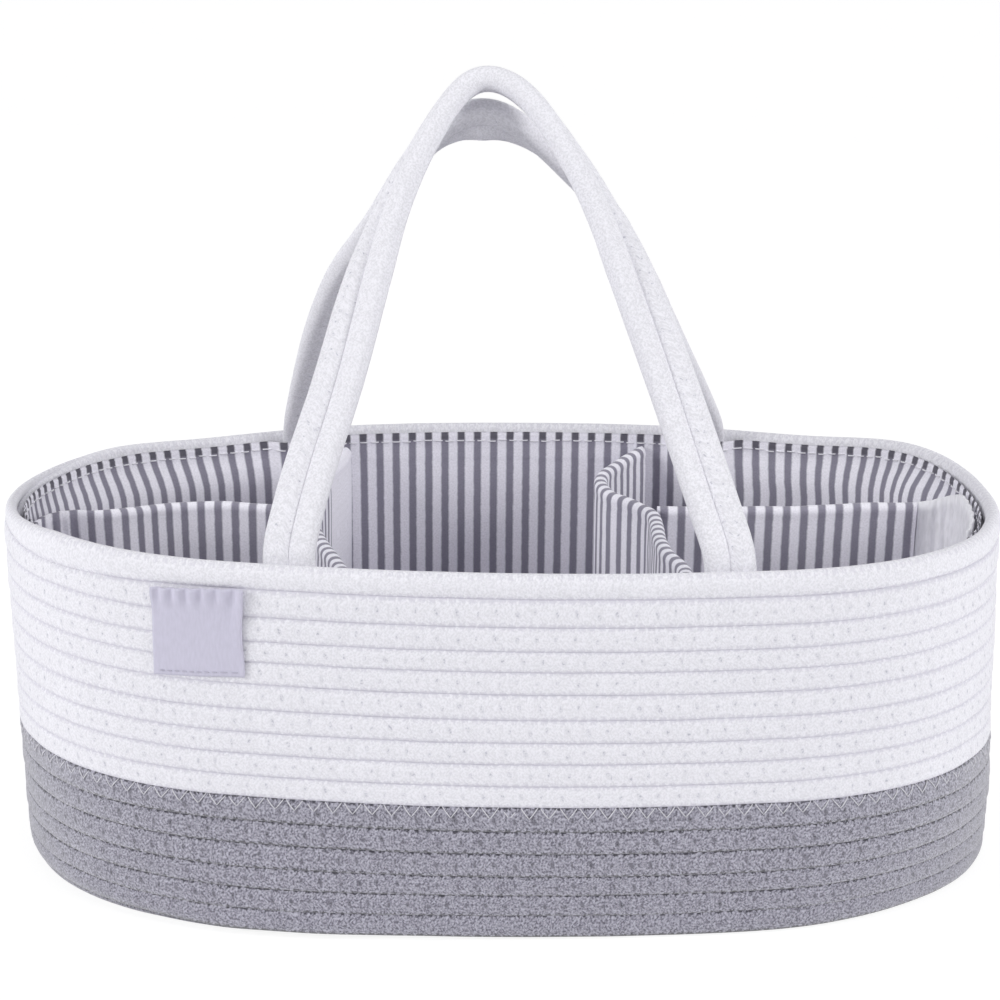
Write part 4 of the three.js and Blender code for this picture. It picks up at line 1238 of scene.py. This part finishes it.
class CADDY_OT_tabs_and_strips(Operator):
    """Make the hook tabs and the loop strips behind them"""
    bl_idname = "caddy.tabs_and_strips"
    bl_label = "Hook Tabs and Loop Strips"

    def execute(self, context):
        # The nap of the tape runs in ribs about 1.2 mm apart.
        colours = context.scene.caddy_colours
        tape = plain_cloth("Woven hook and loop tape", colours.tape, 1.2)
        cotton = striped_cotton("Woven cotton tab, printed stripes", context.scene.caddy_lining, colours)
        rim_half = lining_inside(DIVIDER_TOP)
        on_wall_steps = TAB_ON_WALL / np.linalg.norm(oval(rim_half, 1) - oval(rim_half, 0))
        for side, name in SIDES.items():

            def tab(places, level):
                left = 1 - np.minimum(1, places / 0.5)
                on_wall = 2 * SEAT + STRIP_THICKNESS + TAB_THICKNESS / 2 + TAB_SLACK
                # The left tab is sewn in between its panel's faces, and the right one to its end.
                reach = TAB_REACH + 2.2 if side < 0 else TAB_REACH - SEAT
                inset = on_wall + (reach - on_wall) * left * left
                top = DIVIDER_TOP + TAB_RISES[side] * smooth(0, 0.5, places)
                z = DIVIDER_TOP - TAB_HEIGHT + (top - (DIVIDER_TOP - TAB_HEIGHT)) * level
                half = lining_inside(z) - inset
                start = step_at_y(float(half[0]), tab_y(side), side)
                middle = oval(half, start + side * on_wall_steps * places * places)
                # Soft upright folds stand off the wall.
                ripple = -0.35 * side * (1 + np.sin(places * 62 + level * 1.5)) * smooth(0.02, 0.12, places)
                return middle + plan_normals(middle) * ripple[:, None], plan_normals(middle), z

            # The left tab shows the cover's own striped cloth, and the right one its plain tape.
            cloth, slot = (cotton, "striped_lining") if side < 0 else (tape, "plain_tape")
            piece, length = add_strip(f"{name}_hook_tab", f"{name}_insert", tab, 90, 14, TAB_THICKNESS, cloth, slot,
                                      TAB_STRIPES)
            start = step_at_y(rim_half, tab_y(side), side)
            last = start + side * on_wall_steps
            first = (start + last) / 2

            def strip(places, level):
                low, high = DIVIDER_TOP - TAB_HEIGHT + STRIP_MARGIN, DIVIDER_TOP - STRIP_MARGIN
                z = np.full(len(places), low + (high - low) * level)
                middle = oval(lining_inside(z) - SEAT - STRIP_THICKNESS / 2, first + (last - first) * places)
                return middle, plan_normals(middle), z

            piece, length = add_strip(f"{name}_loop_strip", "basket", strip, 14, 10, STRIP_THICKNESS, tape,
                                      "plain_tape")
        return {"FINISHED"}


class CADDY_OT_label(Operator):
    """Sew the bare woven label under the rim"""
    bl_idname = "caddy.label"
    bl_label = "Label"

    def execute(self, context):
        colours = context.scene.caddy_colours
        # The label's warp shows as fine upright ribs, drawn 0.9 mm apart.
        woven = plain_cloth("Woven label tape, bare", colours.label, 0.9, 0.12, 0.95, 1.03)
        left, right = (step_at_x(outside(RIM_Z), x, True) for x in (-LABEL_LEFT, LABEL_SIZE - LABEL_LEFT))

        def label(places, level):
            steps = right + (left - right) * places
            x = (1 - places) * LABEL_SIZE
            drop = LABEL_SIZE * (1 - level)
            z = rim_top(steps) - ROPE_HEIGHT - LABEL_DROP - 2.3 * places - drop
            pucker = 0.8 * (1 + np.cos(x * 2 * np.pi / 5.5 + 0.3)) * bump(drop, 1.5, 23.04)
            curl = smooth(4.5, 0, places * LABEL_SIZE) * (0.7 + 0.5 * np.sin(drop / 5.5))
            lift = 0.75 + pucker + curl + 0.25 * np.sin(x / 6 + drop / 9)
            middle = oval(outside(z) + lift, steps)
            wave = 0.5 * np.sin(drop / 4.7 + 1) * smooth(0.35, 0, places) - drop / LABEL_SIZE * 1.1 + 0.4 + 0.4 * places
            return middle + np.column_stack([wave, np.zeros(len(places))]), plan_normals(middle), z

        piece, _ = add_strip("side_label", "basket", label, 44, 34, 0.5, woven, "label_cloth")
        thread = sewing_thread("Spun polyester label thread", darker(colours.label, 0.85))
        lines = []
        stitch, pitch = 2.2, 2.2 * 1.35
        for i in range(int((LABEL_SIZE - 3) / pitch)):
            places = 0.05 + (i * pitch + np.array([0, 0.2, 0.5, 0.8, 1]) * stitch) / LABEL_SIZE
            middle, _, z = label(places, 0.05)
            outward = plan_normals(middle)
            if np.mean(outward[:, 1]) > 0:
                outward = -outward
            lift = np.array([-0.2, 0.4, 0.5, 0.4, -0.2])[:, None]
            lines.append((np.column_stack([middle + outward * lift, z]), np.column_stack([outward, np.zeros(5)]), 0.26))
        points, faces = tube_mesh(lines)
        add_piece("label_stitches", points, faces, thread, "label_cloth", "basket")
        return {"FINISHED"}


# Camera and studio

class CADDY_OT_camera(Operator):
    """Set the camera where the photograph was taken from"""
    bl_idname = "caddy.camera"
    bl_label = "Camera"

    def execute(self, context):
        data = bpy.data.cameras.new("view_camera")
        for name, value in CAMERA_LENS.items():
            setattr(data, name, value)
        camera = bpy.data.objects.new("view_camera", data)
        tilt, target = math.radians(CAMERA_TILT), Vector(CAMERA_TARGET)
        place = target + Vector((0, -math.cos(tilt), math.sin(tilt))) * CAMERA_DISTANCE
        roll = Matrix.Rotation(math.radians(CAMERA_ROLL), 4, "Z")
        look = (target - place).to_track_quat("-Z", "Y").to_matrix().to_4x4()
        camera.matrix_world = Matrix.Translation(place) @ look @ roll
        context.scene.collection.objects.link(camera)
        context.scene.camera = camera
        return {"FINISHED"}


def looked_at(tree):
    """1 where something is looked at, also in a reflection or through glass, and 0 where it only gives light."""
    ray = add_node(tree, "LightPath", out=None).outputs
    seen = add_node(tree, "Math", (ray["Is Camera Ray"], ray["Is Glossy Ray"]), operation="MAXIMUM")
    return add_node(tree, "Math", (seen, ray["Is Transmission Ray"]), operation="MAXIMUM")


class CADDY_OT_stage(Operator):
    """Set up the pale floor, the studio lamps and the white surroundings"""
    bl_idname = "caddy.stage"
    bl_label = "Studio"

    def execute(self, context):
        scene = context.scene
        material, tree, shader = new_material("Matt paper sweep")
        wire(tree, shader, {"Base Color": opaque(scene.caddy_colours.floor), "Roughness": 0.95,
                            "Specular IOR Level": 0.1})
        share = add_node(tree, "Math", (looked_at(tree), 0.8), operation="MULTIPLY")
        glow = add_node(tree, "Emission", ((1, 1, 1, 1), 1.1))
        wire(tree, tree.nodes["Material Output"],
             {"Surface": add_node(tree, "MixShader", (share, shader.outputs[0], glow))})
        mesh = bpy.data.meshes.new("paper_sweep")
        mesh.from_pydata([(x, y, z - SWEEP_DROP) for y, z in SWEEP for x in (-SWEEP_HALF, SWEEP_HALF)], [],
                         grid_faces(len(SWEEP), 2, close_count=False))
        mesh.shade_smooth()
        mesh.materials.append(material)
        sweep = bpy.data.objects.new("paper_sweep", mesh)
        scene.collection.objects.link(sweep)

        for name, (place, size, power) in LAMPS.items():
            data = bpy.data.lights.new(name, "AREA")
            data.shape = "DISK"
            data.size = size
            data.energy = power
            lamp = bpy.data.objects.new(name, data)
            lamp.location = place
            lamp.rotation_euler = (Vector(LAMP_TARGET) - Vector(place)).to_track_quat("-Z", "Y").to_euler()
            scene.collection.objects.link(lamp)

        world = bpy.data.worlds.new("studio")
        scene.world = world
        world.use_nodes = True
        tree = world.node_tree
        tree.nodes.clear()
        around = add_node(tree, "Background", ((0.97, 0.98, 1, 1), 0.38))
        white = add_node(tree, "Background", ((1, 1, 1, 1), 1.0))
        mixed = add_node(tree, "MixShader", (looked_at(tree), around, white))
        add_node(tree, "OutputWorld", (mixed,), None, is_active_output=True)
        scene.view_settings.view_transform = "Standard"
        return {"FINISHED"}


class CADDY_PT_panel(Panel):
    """Steps that build the caddy"""
    bl_idname = "CADDY_PT_panel"
    bl_label = "Rope Caddy"
    bl_space_type = "VIEW_3D"
    bl_region_type = "UI"
    bl_category = "Rope Caddy"

    def draw(self, context):
        layout = self.layout
        for operator in OPERATORS:
            layout.operator(operator.bl_idname)
        for name, group in GROUPS.items():
            box = layout.box()
            box.label(text=group.__doc__)
            settings = getattr(context.scene, name)
            for key in group.__annotations__:
                box.prop(settings, key)


GROUPS = {
    "caddy_rope": CaddyRope,
    "caddy_lining": CaddyLining,
    "caddy_handles": CaddyHandles,
    "caddy_dividers": CaddyDividers,
    "caddy_colours": CaddyColours,
}
OPERATORS = (
    CADDY_OT_camera,
    CADDY_OT_rope_coils,
    CADDY_OT_seam_threads,
    CADDY_OT_wall_lining,
    CADDY_OT_floor_lining,
    CADDY_OT_handles,
    CADDY_OT_dividers,
    CADDY_OT_divider_boards,
    CADDY_OT_tabs_and_strips,
    CADDY_OT_label,
    CADDY_OT_stage,
)


def register():
    for group in (*GROUPS.values(), *OPERATORS, CADDY_PT_panel):
        bpy.utils.register_class(group)
    for name, group in GROUPS.items():
        setattr(bpy.types.Scene, name, PointerProperty(type=group))


def unregister():
    for name in GROUPS:
        delattr(bpy.types.Scene, name)
    for group in reversed((*GROUPS.values(), *OPERATORS, CADDY_PT_panel)):
        bpy.utils.unregister_class(group)


def main():
    register()
    for operator in OPERATORS:
        family, name = operator.bl_idname.split(".")
        getattr(getattr(bpy.ops, family), name)()


if __name__ == "__main__":
    main()
